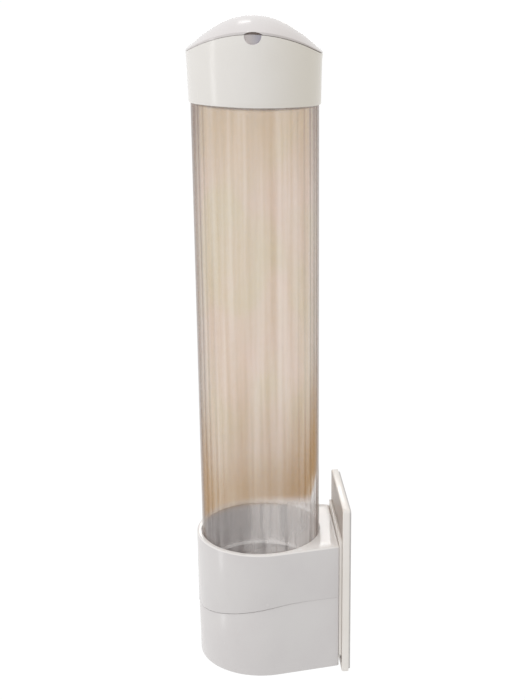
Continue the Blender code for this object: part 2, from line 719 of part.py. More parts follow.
def plate_mesh():
    """The wall plate: a window for each hook's peg, a well behind it for the lip, and two screw holes."""
    full = rounded_rectangle(PLATE_HALF_WIDTH, PLATE_BOTTOM, PLATE_TOP, PLATE_CORNER)
    small = rounded_rectangle(PLATE_HALF_WIDTH - PLATE_EDGE_ROUND, PLATE_BOTTOM + PLATE_EDGE_ROUND,
                              PLATE_TOP - PLATE_EDGE_ROUND, PLATE_CORNER - PLATE_EDGE_ROUND)
    slope = math.sin(QUARTER_TURN / 2)
    middle = [a.lerp(b, 1 - slope) for a, b in zip(full, small)]
    rings = (
        (small, PLATE_FRONT),
        (middle, PLATE_FRONT + PLATE_EDGE_ROUND * (1 - slope)),
        (full, PLATE_FRONT + PLATE_EDGE_ROUND),
        (full, PLATE_BACK),
    )
    body = skin([[Vector((p.x, y, p.y)) for p in outline] for outline, y in rings])
    half = HOOK_HALF_WIDTH + FIT
    behind = PLATE_FRONT + PLATE_SKIN
    cuts = []
    for z in HOOK_HEIGHTS:
        top = z + HOOK_PEG_HEIGHT + LIFT_TRAVEL + FIT
        foot = z - HOOK_LIP - FIT
        for side in (-1, 1):
            left, right = side * HOOK_HALF_SPACING - half, side * HOOK_HALF_SPACING + half
            cuts.append(block((left, PLATE_FRONT - OVERRUN, z - FIT), (right, behind + OVERRUN, top)))
            cuts.append(block((left - FIT, behind, foot), (right + FIT, PLATE_BACK + OVERRUN, top + FIT)))
    cuts += plate_holes(PLATE_HOLE_RADIUS, PLATE_FRONT, PLATE_BACK)
    return solid(body, cut=cuts)


def plate_holes(radius, front, back):
    """Two holes on the plate's centre line, one near each end."""
    heights = (PLATE_BOTTOM + PLATE_HOLE_EDGE, PLATE_TOP - PLATE_HOLE_EDGE)
    return [rod(radius, front - OVERRUN, back + OVERRUN, "y", (0, z)) for z in heights]


def pad_mesh():
    """The foam pad on the plate's back, with a larger hole round each screw hole."""
    outline = rounded_rectangle(PLATE_HALF_WIDTH - PAD_INSET, PLATE_BOTTOM + PAD_INSET,
                                PLATE_TOP - PAD_INSET, PLATE_CORNER)
    pad = prism(outline, PAD_FRONT, WALL_FACE, lambda x, z, y: (x, y, z))
    return solid(pad, cut=plate_holes(PAD_HOLE_RADIUS, PAD_FRONT, WALL_FACE))


# %% Cap
def collar_mesh():
    """The collar: a drafted skirt over the tube, a shoulder on its end, and a vaulted top edge."""
    skirt = COLLAR_SKIRT_BORE + COLLAR_SKIRT_WALL
    upper = CAP_RADIUS - COLLAR_DRAFT
    rings = [
        skirt_ring(skirt - COLLAR_EDGE / 2, 0),
        skirt_ring(skirt, COLLAR_EDGE),
        round_ring(upper, COLLAR_SHOULDER_TOP, CAP_SIDES),
        vault_ring(CAP_RADIUS, -COLLAR_EDGE),
        vault_ring(CAP_RADIUS - COLLAR_EDGE, 0),
        vault_ring(COLLAR_BORE, 0),
        round_ring(COLLAR_BORE, COLLAR_SHOULDER_TOP, CAP_SIDES),
        round_ring(COLLAR_SKIRT_BORE - COLLAR_SHOULDER_REACH, COLLAR_SHOULDER_TOP, CAP_SIDES),
        round_ring(COLLAR_SKIRT_BORE - COLLAR_SHOULDER_REACH, COLLAR_SHOULDER_BOTTOM, CAP_SIDES),
        round_ring(COLLAR_SKIRT_BORE, COLLAR_SHOULDER_BOTTOM, CAP_SIDES),
        skirt_ring(COLLAR_SKIRT_BORE, 0),
    ]
    knuckles, webs = [], []
    ear_start = HINGE_LID_HALF_WIDTH + FIT
    ear_end = ear_start + HINGE_EAR_WIDTH
    web_root = CAP_RADIUS - HINGE_WEB_ROOT
    web_toe = HINGE_REACH + HINGE_KNUCKLE_RADIUS / 2
    for side in (-1, 1):
        web_top = vault_height(side * ear_end) - FIT
        web = [Vector(p) for p in (
            (web_root, HINGE_HEIGHT - HINGE_WEB_DROP - HINGE_KNUCKLE_RADIUS),
            (web_toe, HINGE_HEIGHT - HINGE_KNUCKLE_RADIUS * HINGE_WEB_TOE_SHARE),
            (HINGE_REACH, web_top),
            (web_root, web_top),
        )]
        near, far = sorted((side * ear_start, side * ear_end))
        knuckles.append(rod(HINGE_KNUCKLE_RADIUS, near, far, "x", (HINGE_REACH, HINGE_HEIGHT)))
        webs.append(prism(web, near + EDGE_MARGIN, far - EDGE_MARGIN, lambda y, z, x: (x, y, z)))
    return solid(skin(rings, wrap=True), join=webs + knuckles, cut=[hinge_bore(), notch_cutter()])


def hinge_bore():
    """The hole that the hinge pin runs through."""
    reach = HINGE_LID_HALF_WIDTH + FIT + HINGE_EAR_WIDTH + OVERRUN
    return rod(HINGE_PIN_RADIUS + PIN_PLAY, -reach, reach, "x", (HINGE_REACH, HINGE_HEIGHT))


def notch_cutter():
    """The half-round thumb notch in the collar's front."""
    middle = COLLAR_CREST - NOTCH_DROP + NOTCH_HALF_WIDTH
    return rod(NOTCH_HALF_WIDTH, -CAP_RADIUS - OVERRUN, NOTCH_DEPTH - CAP_RADIUS, "y", (0, middle))


def arch_cutter():
    """The low arch in the lid's lip above the thumb notch."""
    outline = [Vector((p.x * ARCH_HALF_WIDTH, p.y * ARCH_RISE)) for p in circle(1, ROUND_SIDES)]
    return prism(outline, -CAP_RADIUS - OVERRUN, ARCH_DEPTH - CAP_RADIUS,
                 lambda x, z, y: (x, y, COLLAR_CREST + FIT + z))


def lip_height(across):
    """The height of the lid's upper edge, which thins towards the two sides of the vault."""
    share = across / CAP_RADIUS
    return vault_height(across) + FIT + LID_LIP - (LID_LIP - LID_SIDE_LIP) * share * share


def lip_ring(inset):
    """A ring on the round of the lid's upper edge, drawn in by inset."""
    sink = LID_EDGE_ROUND - math.sqrt(LID_EDGE_ROUND**2 - (LID_EDGE_ROUND - inset) ** 2)
    return [Vector((p.x, p.y, lip_height(p.x) - sink)) for p in circle(CAP_RADIUS - inset, CAP_SIDES)]


def dome_ring(share, sink):
    """A ring of the dome: share is the distance out from its middle, sink how far below its skin."""
    reach = CAP_RADIUS - LID_EDGE_ROUND
    points = []
    for p in circle(1, CAP_SIDES):
        edge = lip_height(p.x * CAP_RADIUS) + cap_slant(p.x * CAP_RADIUS)
        height = edge + (LID_TOP - edge) * (1 - share**LID_CROWN_POWER) - cap_slant(p.x * reach * share)
        points.append(Vector((p.x * reach * share, p.y * reach * share, height - sink)))
    return points


def lid_mesh():
    """The lid: a domed shell whose edge lies on the vault, with a short plug inside the collar."""
    slope = math.sin(QUARTER_TURN / 2)
    plug_outer = COLLAR_BORE - LID_PLUG_PLAY
    plug_inner = plug_outer - LID_PLUG_WALL
    inner_shares = [plug_inner / (CAP_RADIUS - LID_EDGE_ROUND) * s for s in (*LID_INNER_RING_SHARES, 1)]
    rings = [dome_ring(share, 0) for share in LID_RING_SHARES]
    rings += [
        dome_ring(1, 0),
        lip_ring(LID_EDGE_ROUND * (1 - slope)),
        lip_ring(0),
        vault_ring(CAP_RADIUS, FIT),
        vault_ring(plug_outer, FIT),
        vault_ring(plug_outer, -LID_PLUG_DEPTH),
        vault_ring(plug_inner, -LID_PLUG_DEPTH),
    ]
    rings += [dome_ring(share, LID_WALL) for share in reversed(inner_shares)]
    shell = skin(rings, poles=((0, 0, LID_TOP), (0, 0, LID_TOP - LID_WALL)))
    half = HINGE_LID_HALF_WIDTH
    foot = CAP_RADIUS - HINGE_WEB_ROOT
    web = [Vector(p) for p in (
        (foot, COLLAR_CREST + FIT + HINGE_WEB_LIFT),
        (CAP_RADIUS + HINGE_WEB_STEP, COLLAR_CREST + FIT + HINGE_WEB_LIFT),
        (HINGE_REACH, HINGE_HEIGHT),
        (HINGE_REACH, HINGE_HEIGHT + HINGE_LID_WEB),
        (foot, COLLAR_CREST + FIT + HINGE_LID_WEB),
    )]
    tip, side = HINGE_HEEL_LENGTH, HINGE_HEEL_HALF_WIDTH
    heel = []
    for along, across in ((0, -side), (tip, -side), (tip, side), (0, side)):
        y = along * math.cos(HINGE_HEEL_ANGLE) - across * math.sin(HINGE_HEEL_ANGLE)
        z = along * math.sin(HINGE_HEEL_ANGLE) + across * math.cos(HINGE_HEEL_ANGLE)
        heel.append(Vector((HINGE_REACH + y, HINGE_HEIGHT + z)))
    web_half, heel_half = half - EDGE_MARGIN, half - EDGE_MARGIN - EDGE_MARGIN
    parts = [
        prism(web, -web_half, web_half, lambda y, z, x: (x, y, z)),
        rod(HINGE_KNUCKLE_RADIUS, -half, half, "x", (HINGE_REACH, HINGE_HEIGHT)),
        prism(heel, -heel_half, heel_half, lambda y, z, x: (x, y, z)),
    ]
    return solid(shell, join=parts, cut=[hinge_bore(), arch_cutter()])


def build():
    """Clears the scene and builds the whole dispenser."""
    for old in list(bpy.data.objects):
        bpy.data.objects.remove(old)

    white = material("white_plastic", (0.80, 0.79, 0.78), 0.28)
    cap_white = material("cap_plastic", (0.82, 0.80, 0.78), 0.26)
    inner = material("inner_plastic", (0.74, 0.74, 0.73), 0.42)
    clear = material("clear_plastic", (0.80, 0.72, 0.62), 0.08, alpha=0.45)
    steel = material("steel", (0.62, 0.62, 0.63), 0.25, metallic=1.0)
    foam = material("foam", (0.42, 0.41, 0.40), 0.9)

    wall = guide("wall_frame", (0, -WALL_FACE, -PLATE_MIDDLE))
    dispenser = guide("dispenser_frame", parent=wall)
    cap = guide("cap_frame", turn=CAP_TURN, parent=dispenser)

    place("wall_plate", plate_mesh(), white, wall)
    place("adhesive_pad", pad_mesh(), foam, wall)

    place("upper_housing", upper_housing_mesh(), white, dispenser)
    place("lower_housing", lower_housing_mesh(), white, dispenser)
    place("hanger_plate", hanger_mesh(), white, dispenser)
    place("clear_tube", tube_mesh(), clear, dispenser)
    place("pawl_carrier", carrier_mesh(), inner, dispenser)

    screw = screw_mesh()
    for number, (x, z) in enumerate(hanger_screw_places(), 1):
        fastener = place(f"hanger_screw_{number}", screw, steel, dispenser, (x, HANGER_BACK - SCREW_SINK, z))
        fastener.rotation_euler.x = QUARTER_TURN
    for number, spot in enumerate(carrier_screw_places(), 1):
        place(f"carrier_screw_{number}", screw, steel, dispenser, (*spot, SCREW_SINK))

    pawl = pawl_mesh()
    pin = rod(PAWL_PIN_RADIUS, -EAR_OUTER, EAR_OUTER, "y", (0, 0))
    for number, angle in enumerate(pawl_angles(), 1):
        pivot = (*polar(PIVOT_RADIUS, angle), PIVOT_HEIGHT)
        place(f"release_pawl_{number}", pawl, inner, dispenser, pivot, angle)
        place(f"pawl_pin_{number}", pin, steel, dispenser, pivot, angle)
        seat = (*polar(SPRING_CENTRE, angle), SPRING_BOTTOM)
        spring_object(f"pawl_spring_{number}", steel, dispenser, seat, angle)
    print("least gap between two turns of a spring, in metres:", round(spring_clearance(), 6))

    place("collar", collar_mesh(), cap_white, cap)
    reach = HINGE_LID_HALF_WIDTH + FIT + HINGE_EAR_WIDTH
    hinge = (0, HINGE_REACH, HINGE_HEIGHT)
    place("lid_hinge_pin", rod(HINGE_PIN_RADIUS, -reach, reach, "x", (0, 0)), steel, cap, hinge)
    place("lid", moved(lid_mesh(), (0, -HINGE_REACH, -HINGE_HEIGHT)), cap_white, cap, hinge)


build()
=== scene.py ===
# %% [markdown]
# # A paper cup dispenser, piece by piece
#
# The object hangs on a wall beside a water cooler. A stack of cups stands in a clear fluted tube, the tube
# stands in a white housing, and four sprung pawls in the housing's floor let one cup out at a time. A collar
# with a domed lid closes the top.
#
# The engineering model of every piece is already packed. This lesson loads it as a fixed frame and then
# dresses it: finer shapes for what the eye sees, finishes made of shader nodes, and a soft studio.

# %% Load the frame
import math
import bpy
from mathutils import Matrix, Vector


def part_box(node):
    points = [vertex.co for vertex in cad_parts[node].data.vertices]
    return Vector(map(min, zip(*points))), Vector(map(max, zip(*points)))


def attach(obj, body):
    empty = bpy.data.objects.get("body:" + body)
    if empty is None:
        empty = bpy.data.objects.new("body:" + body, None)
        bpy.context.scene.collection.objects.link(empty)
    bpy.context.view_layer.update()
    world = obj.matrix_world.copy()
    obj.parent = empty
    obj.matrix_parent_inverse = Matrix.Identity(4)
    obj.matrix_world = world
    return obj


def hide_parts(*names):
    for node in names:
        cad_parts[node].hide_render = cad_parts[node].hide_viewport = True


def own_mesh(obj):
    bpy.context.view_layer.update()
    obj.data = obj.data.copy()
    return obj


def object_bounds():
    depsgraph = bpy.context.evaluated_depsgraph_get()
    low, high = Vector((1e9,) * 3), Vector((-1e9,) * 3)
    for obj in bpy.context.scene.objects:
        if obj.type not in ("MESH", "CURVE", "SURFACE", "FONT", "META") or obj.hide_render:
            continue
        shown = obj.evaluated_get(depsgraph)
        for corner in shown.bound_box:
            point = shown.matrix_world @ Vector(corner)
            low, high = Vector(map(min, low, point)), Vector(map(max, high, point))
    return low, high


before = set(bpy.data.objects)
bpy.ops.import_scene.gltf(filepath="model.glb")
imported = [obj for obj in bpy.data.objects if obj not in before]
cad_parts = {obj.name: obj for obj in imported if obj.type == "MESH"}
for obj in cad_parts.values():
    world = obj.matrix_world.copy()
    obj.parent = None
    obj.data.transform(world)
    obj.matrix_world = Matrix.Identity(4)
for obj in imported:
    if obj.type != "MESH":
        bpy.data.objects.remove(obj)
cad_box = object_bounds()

from types import SimpleNamespace

import bmesh
import bpy
from mathutils import Matrix, Vector

# %% [markdown]
# ## Where things are
#
# Everything round this dispenser is drawn about the tube's own axis, with the housing's underside at height
# zero, because a radius and a height are then all that a turned shape needs. The frame has its origin on the
# wall instead, so one vector carries a finished piece from the drawing to its place. Reading that vector,
# the tube's size and the housing's height from the frame's boxes keeps the two from drifting apart.

# %% The drawing's origin
MM = 0.001
tube_low, tube_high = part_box("clear_tube")
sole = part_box("lower_housing")[0].z
DRAWING = Vector((0, (tube_low.y + tube_high.y) / 2, sole))
TUBE_RADIUS = (tube_high.x - tube_low.x) / 2
TUBE_BOTTOM, TUBE_TOP = tube_low.z - sole, tube_high.z - sole
HOUSING_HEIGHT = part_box("upper_housing")[1].z - sole
print("drawing origin in the frame, mm:", [round(c / MM, 2) for c in DRAWING])

# %% [markdown]
# ## A workshop for meshes
#
# Nearly every piece here is a skin stretched over a row of rings: the tube, the housing, the collar and the
# lid differ only in their rings. Screw and Solidify modifiers could make the round ones, but the housing's
# seam and the collar's vaulted edge change height as they go round, and a ring can simply follow them. So
# one function joins rings, and small helpers write the rings.

# %% Points round a shape
FRONT = math.radians(-90)
QUARTER = math.radians(90)
HALF = math.radians(180)
FULL = math.radians(360)


def polar(radius, angle):
    """A point at this distance and direction from the tube's axis."""
    return Vector((radius * math.cos(angle), radius * math.sin(angle)))


def arc(radius, start, turn, steps, centre=(0, 0)):
    """Points along an arc, both ends included."""
    return [Vector(centre) + polar(radius, start + turn * k / steps) for k in range(steps + 1)]


def circle(radius, sides):
    """Points round a circle, the first at the front."""
    return [polar(radius, FRONT + FULL * k / sides) for k in range(sides)]


def round_ring(radius, height, sides):
    """A level ring about the tube's axis."""
    return [Vector((p.x, p.y, height)) for p in circle(radius, sides)]


def quarter_round(size, steps):
    """Shares of a rounded edge: how far in and how far along it has come at each step."""
    angles = [QUARTER * k / steps for k in range(steps + 1)]
    return [(size * (1 - math.cos(a)), size * math.sin(a)) for a in angles]


# %% Skins and prisms
def mesh_from(shape, name="shape"):
    """Turns the faces outward and hands over the mesh."""
    bmesh.ops.recalc_face_normals(shape, faces=shape.faces)
    if shape.calc_volume(signed=True) < 0:
        bmesh.ops.reverse_faces(shape, faces=shape.faces)
    mesh = bpy.data.meshes.new(name)
    shape.to_mesh(mesh)
    shape.free()
    return mesh


def skin(rings, wrap=False, poles=None):
    """Joins rings of equal count into a closed skin: wrapped round, drawn to two poles, or with flat ends."""
    shape = bmesh.new()
    loops = [[shape.verts.new(p) for p in ring] for ring in rings]
    pairs = list(zip(loops, loops[1:]))
    if wrap:
        pairs.append((loops[-1], loops[0]))
    for one, other in pairs:
        for k in range(len(one)):
            shape.faces.new((one[k - 1], one[k], other[k], other[k - 1]))
    if poles:
        for loop, pole in ((loops[0], poles[0]), (loops[-1], poles[1])):
            tip = shape.verts.new(pole)
            for k in range(len(loop)):
                shape.faces.new((loop[k - 1], loop[k], tip))
    elif not wrap:
        shape.faces.new(loops[0])
        shape.faces.new(loops[-1])
    return mesh_from(shape)


AXES = {
    "x": lambda a, b, depth: (depth, a, b),
    "y": lambda a, b, depth: (a, depth, b),
    "z": lambda a, b, depth: (a, b, depth),
}


def prism(outline, start, end, axis):
    """An outline pushed from start to end along X, Y or Z, with flat ends."""
    lay = AXES[axis]
    return skin([[Vector(lay(a, b, depth)) for a, b in outline] for depth in (start, end)])


def block(low, high):
    """A plain box between two corners, used as a cutter."""
    (left, front, bottom), (right, back, top) = low, high
    return prism(((left, front), (right, front), (right, back), (left, back)), bottom, top, "z")


def turned(profile, axis, centre, sides):
    """A solid turned about a line along X, Y or Z, from points of radius and depth, with flat ends."""
    u, v = centre
    lay = AXES[axis]
    return skin([[Vector(lay(u + p.x, v + p.y, depth)) for p in circle(radius, sides)]
                 for radius, depth in profile])


def soft_rod(radius, start, end, axis, centre, edge, sides):
    """A round bar whose two ends have a small rounded edge."""
    lead = [(radius - edge + along, start + into) for into, along in quarter_round(edge, 3)]
    tail = [(r, start + end - depth) for r, depth in reversed(lead)]
    return turned(lead + tail, axis, centre, sides)


# %% [markdown]
# ## Joining and cutting
#
# Holes, hooks and knuckles are added with Boolean modifiers. They could be knifed into the skins by hand,
# but a modifier with the exact solver leaves a closed solid, and a closed solid can be measured, printed and
# exported. The modifiers are applied at once and their tools thrown away.

# %% A Boolean bench
def add(name, data):
    """Puts an object that holds this mesh, lamp or camera into the scene."""
    item = bpy.data.objects.new(name, data)
    bpy.context.scene.collection.objects.link(item)
    return item


def solid(mesh, join=(), cut=()):
    """The mesh with some shapes joined on and others cut away, as one clean mesh."""
    body = add("tool", mesh)
    tools = []
    for operation, shapes in (("UNION", join), ("DIFFERENCE", cut)):
        for shape in shapes:
            tool = add("tool", shape)
            tools.append(tool)
            step = body.modifiers.new(operation.lower(), "BOOLEAN")
            step.operation = operation
            step.solver = "EXACT"
            step.object = tool
    result = bpy.data.meshes.new_from_object(body.evaluated_get(bpy.context.evaluated_depsgraph_get()))
    for tool in [body, *tools]:
        bpy.data.objects.remove(tool)
    return result


# %% [markdown]
# ## Putting a piece in its place
#
# A finished piece is shaded smooth, with edges past 35 degrees kept crisp. A turn about Z goes into its mesh,
# so that its box stays square to the frame. It then rides on the body that its engineering twin belongs to,
# so that it moves with that joint, and the twin is hidden. The printed distance says how far the new shape's
# box is from the twin's: a quick test that a drawing has not slipped.

# %% Placing
def box_error(piece, node):
    """The largest difference, in millimetres, between a piece's box and a node's."""
    bpy.context.view_layer.update()
    spots = [piece.matrix_world @ v.co for v in piece.data.vertices]
    low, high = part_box(node)
    errors = []
    for axis in range(3):
        values = [p[axis] for p in spots]
        errors += [abs(min(values) - low[axis]), abs(max(values) - high[axis])]
    return max(errors) / MM


def place(name, mesh, finish, body, node, location=(0, 0, 0), turn=0.0, crisp=35):
    """Adds a piece at its place in the drawing, riding on a body and standing for a node."""
    mesh.name = name
    mesh.transform(Matrix.Rotation(turn, 4, "Z"))
    mesh.materials.clear()
    mesh.materials.append(finish.material)
    mesh.shade_smooth()
    mesh.set_sharp_from_angle(angle=math.radians(crisp))
    piece = add(name, mesh)
    piece.location = DRAWING + Vector(location)
    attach(piece, body)
    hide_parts(node)
    print(f"{name}: {len(mesh.polygons)} faces, box within {box_error(piece, node):.2f} mm of its twin")
    return piece


def repaint(piece, finish, chosen):
    """Gives a second finish to the faces whose middle is chosen, and returns how many there are."""
    piece.data.materials.append(finish.material)
    faces = [f for f in piece.data.polygons if chosen(f.center)]
    for face in faces:
        face.material_index = len(piece.data.materials) - 1
    return len(faces)


# %% [markdown]
# ## Shaders written as sums
#
# A finish is a tree of nodes, but a tree is hard to read as code. Wrapping a socket in a small class lets
# Python's own operators add the Math nodes, so that a worn edge can be written as 0.2 + 0.1 * scuffs. The
# class knows nothing of plastics. It only makes nodes and links, and colours go through Mix nodes, because
# a Math node would turn them grey. A wire knows the finish that it is part of, so a pattern made from it
# lands in the same tree.

# %% Sockets with operators
class Wire:
    """An output socket that can be used in sums."""

    def __init__(self, finish, socket):
        self.finish = finish
        self.socket = socket

    def _maths(self, operation, one, other):
        return self.finish.node("ShaderNodeMath", {"operation": operation}, {0: one, 1: other})

    def __add__(self, other):
        return self._maths("ADD", self, other)

    __radd__ = __add__

    def __sub__(self, other):
        return self._maths("SUBTRACT", self, other)

    def __rsub__(self, other):
        return self._maths("SUBTRACT", other, self)

    def __mul__(self, other):
        return self._maths("MULTIPLY", self, other)

    __rmul__ = __mul__

    def __pow__(self, other):
        return self._maths("POWER", self, other)


class Finish:
    """One material: its node tree, its Principled shader and the record's slot that it belongs to."""

    def __init__(self, name, slot=None):
        self.material = bpy.data.materials.new(name)
        self.material.use_nodes = True
        self.tree = self.material.node_tree
        self.shader = self.tree.nodes["Principled BSDF"]
        self.slot = slot

    def plug(self, made, inputs):
        """Links wires to a node's sockets and writes plain values into the others."""
        for key, value in inputs.items():
            free = [s for s in made.inputs if s.enabled]
            socket = free[key] if isinstance(key, int) else next(s for s in free if s.name == key)
            if isinstance(value, Wire):
                self.tree.links.new(value.socket, socket)
            else:
                socket.default_value = value

    def node(self, kind, settings=None, inputs=None, output=0):
        """Adds a node: its settings first, then its sockets' values or links."""
        made = self.tree.nodes.new(kind)
        for name, value in (settings or {}).items():
            setattr(made, name, value)
        self.plug(made, inputs or {})
        free = [s for s in made.outputs if s.enabled]
        picked = free[output] if isinstance(output, int) else next(s for s in free if s.name == output)
        return Wire(self, picked)

    def sockets(self, **values):
        """Feeds the Principled shader, with words for its socket names."""
        self.plug(self.shader, {name.replace("_", " ").title(): value for name, value in values.items()})


# %% Patterns that several finishes share
def spot_of(finish):
    """Where a point lies on its piece, in metres from the drawing's origin."""
    return finish.node("ShaderNodeTexCoord", output="Object")


def noise(where, scale, detail, roughness=0.5):
    """Soft random patches, from 0 to 1."""
    return where.finish.node("ShaderNodeTexNoise", {}, {"Vector": where, "Scale": scale, "Detail": detail,
                                                        "Roughness": roughness})


def depth_of(where):
    """How far a point lies behind the tube's axis, towards the wall."""
    return where.finish.node("ShaderNodeSeparateXYZ", {}, {0: where}, "Y")


def stretched(where, across, along):
    """The place on the piece with its height scaled apart from its width, for patterns drawn out upwards."""
    return where.finish.node("ShaderNodeVectorMath", {"operation": "MULTIPLY"},
                             {0: where, 1: (across, across, along)})


def maths(operation, one, *others):
    """A Math node for what has no sign in Python."""
    return one.finish.node("ShaderNodeMath", {"operation": operation}, dict(enumerate((one, *others))))


def between(low, high, value):
    """How far a value has come from low to high, eased and held at 0 and 1."""
    return value.finish.node("ShaderNodeMapRange", {"interpolation_type": "SMOOTHSTEP"},
                             {"Value": value, "From Min": low, "From Max": high})


def tint(share, one, other):
    """A colour that goes from one to the other as share goes from 0 to 1."""
    one, other = ((*c, 1) if isinstance(c, tuple) else c for c in (one, other))
    return share.finish.node("ShaderNodeMix", {"data_type": "RGBA"}, {"Factor": share, "A": one, "B": other})


def bump(height, strength, distance):
    """A relief made of shading alone, for grain too fine to model."""
    return height.finish.node("ShaderNodeBump", {}, {"Height": height, "Strength": strength,
                                                     "Distance": distance})


# %% [markdown]
# ## White moulded plastic
#
# Housing, plates, collar and lid are injection moulded and polished. Such a plastic is never one colour: it
# has a faint cloudiness where it flowed, a haze of handling where fingers reach, and hairline scratches that
# only show in a reflection. All three are noises at their own scale. The haze and the scratches feed the
# roughness, the cloudiness the colour, and a very low grain the normal, so that highlights waver a little.
# The rim and deck get a paler and glossier version, and the paler colour is painted light for the light that
# falls on these upward faces. The socket gets a paler colour and a weak emission, painted light for the
# daylight that its thin wall lets through. The cap is painted darker and warmer on the side towards the wall,
# a painted shade that a slow change of colour with depth draws, and the lid is a darker copy of the cap's
# white, painted shade against the light that its top catches.

# %% The white finishes
SIDE_SHADE_DEPTHS = (-10 * MM, 45 * MM)


def moulded_white(name, slot, colour, shade, gloss, haze, grain, shaded_side=None):
    """A polished moulding; the colour given for the side towards the wall is painted there as shade."""
    finish = Finish(name, slot)
    where = spot_of(finish)
    cloud = noise(where, 22, 3)
    base = tint(between(0.35, 0.75, cloud), colour, shade)
    # Painted shade: darker and warmer towards the wall.
    if shaded_side:
        base = tint(between(*SIDE_SHADE_DEPTHS, depth_of(where)), base, shaded_side)
    handled = between(0.45, 0.75, noise(where, 45, 4, 0.6))
    lines = noise(stretched(where, 900, 60), 1, 2, 0.7)
    scratches = between(0.62, 0.72, lines)
    pores = noise(where, 1400, 2)
    waves = noise(where, 70, 1)
    finish.sockets(
        base_color=base,
        roughness=gloss + haze * handled + 0.06 * scratches,
        normal=bump(waves * 0.8 + pores * grain - scratches * 0.04, 0.12, 0.0002),
    )
    return finish


def add_painted_glow(finish, colour, strength):
    """Adds a glow: painted light for the daylight that soaks through a thin pale wall."""
    finish.plug(finish.shader, {"Emission Color": (*colour, 1), "Emission Strength": strength})


housing_white = moulded_white("housing_white", "white_plastic", (0.73, 0.705, 0.695), (0.70, 0.67, 0.665),
                              0.20, 0.08, 0.10)
plate_white = moulded_white("plate_white", "white_plastic", (0.92, 0.88, 0.835), (0.89, 0.845, 0.79),
                            0.17, 0.07, 0.08)
# The plate's front above the hanger: a darker brownish copy, painted shade and a painted warm reflection.
plate_face_shade = moulded_white("plate_face_shade", "white_plastic", (0.56, 0.50, 0.45), (0.47, 0.41, 0.36),
                           0.42, 0.10, 0.20)
# A paler copy of the housing's white for the rim and deck: the paler colour is painted light.
lit_rim_white = moulded_white("lit_rim_white", "white_plastic", (0.88, 0.85, 0.825), (0.85, 0.815, 0.79),
                          0.14, 0.05, 0.06)
cap_white = moulded_white("cap_white", "cap_plastic", (0.89, 0.86, 0.82), (0.86, 0.825, 0.78),
                          0.19, 0.09, 0.08, shaded_side=(0.74, 0.69, 0.60))
# The lid's white is a darker copy of the cap's: painted shade against the light that its top catches.
shaded_lid_white = moulded_white("shaded_lid_white", "cap_plastic", (0.73, 0.69, 0.68), (0.70, 0.66, 0.645),
                          0.13, 0.05, 0.06, shaded_side=(0.56, 0.51, 0.48))
# A paler copy of the white with a weak glow for the socket's inside: painted light.
lit_socket_white = moulded_white("lit_socket_white", "white_plastic", (0.90, 0.89, 0.885), (0.86, 0.85, 0.845),
                             0.25, 0.08, 0.10)
add_painted_glow(lit_socket_white, (1.0, 0.98, 0.97), 0.22)
works_white = moulded_white("works_white", "inner_plastic", (0.72, 0.72, 0.70), (0.66, 0.655, 0.63),
                            0.38, 0.10, 0.35)
print("white finishes:", housing_white.material.name, plate_white.material.name, cap_white.material.name)

# %% [markdown]
# ## Where a thumb goes
#
# The notch below the lid isn't polished: its floor is left matt, and its floor and wall are painted a cool
# grey, painted shade for the recess, lighter towards the front. The slot under the lid's arch is painted dark
# brown, painted shade under the lid's overhang. Both are finishes of their own, put on a few faces of the
# finished pieces.

# %% Notch and arch finishes
FRONT_FADE = (3 * MM, -5 * MM)


def shade_patch(name, colour, shade, scale, front_colour=None):
    """A dull moulding in a dark colour, painted shade for a recess, mottled with a second colour; the colour
    given for the front is the one it turns to towards the front.
    """
    finish = Finish(name, "cap_plastic")
    where = spot_of(finish)
    mottle = noise(where, scale, 4, 0.6)
    base = tint(between(0.3, 0.7, mottle), colour, shade)
    if front_colour:
        base = tint(between(*FRONT_FADE, depth_of(where) + mottle * 3 * MM), base, front_colour)
    finish.sockets(
        base_color=base,
        roughness=0.55 + 0.2 * mottle,
        normal=bump(mottle, 0.2, 0.0002),
    )
    return finish


# Painted shade: the notch's recess in cool grey and the arch's slot in dark brown.
notch_shade = shade_patch("notch_shade", (0.50, 0.48, 0.53), (0.43, 0.41, 0.45), 260, front_colour=(0.66, 0.61, 0.60))
arch_shade = shade_patch("arch_shade", (0.34, 0.28, 0.26), (0.25, 0.20, 0.18), 500)
print("thumb finishes:", notch_shade.material.name, arch_shade.material.name)

# %% [markdown]
# ## Clear fluted plastic
#
# The tube is extruded, so all that varies runs along it: thick ribs hold more of its tint than the thin
# flutes between them, and upright streaks run along its skin. Two ways lead to such a plastic. A glass
# shader bends light, but through 36 flutes it scatters the socket's edge into teeth. Plain Alpha lets light
# straight through, and a tint on each of the wall's two faces adds up to the veil that the eye sees. So each
# face is about a fifth opaque, more on the ribs and in the streaks. The tint is painted: it stands for what
# is seen through the clear wall. It drifts between peach and straw for the warm room behind, turns amber
# under the cap and tan towards the housing, and a painted shadow darkens it just under the collar; its
# streaks are the painted stripes that the flutes bend out of that room. It ends on a slant, where somebody
# who looks down from the object's left begins to see the white socket through the wall, and below the slant
# it is a painted view of the socket, pale and darker towards the front. Where the wall is seen edge on there
# is more plastic to look through, which a Layer Weight node knows: it makes the sides cooler and draws a thin
# dark line at the very edge, as on a glass of water. The mauve and russet on the sides are painted as well,
# for the surroundings that the edge bends into view.

# %% Zones of the tube
FLUTES = 36
SIGHT_SLOPE = 0.454
DECK_REACH = 47.6 * MM
PLATE_STEP = 24 * MM
PLATE_SIDE = (34 * MM, 43 * MM)
CAP_LEAN = math.radians(1.7)
COLLAR_SHADOW = (417.5 * MM, 419.5 * MM)


def above_deck(start, end, height):
    """How far a height has come from start to end, both measured from the deck in millimetres."""
    return between(HOUSING_HEIGHT + start * MM, HOUSING_HEIGHT + end * MM, height)


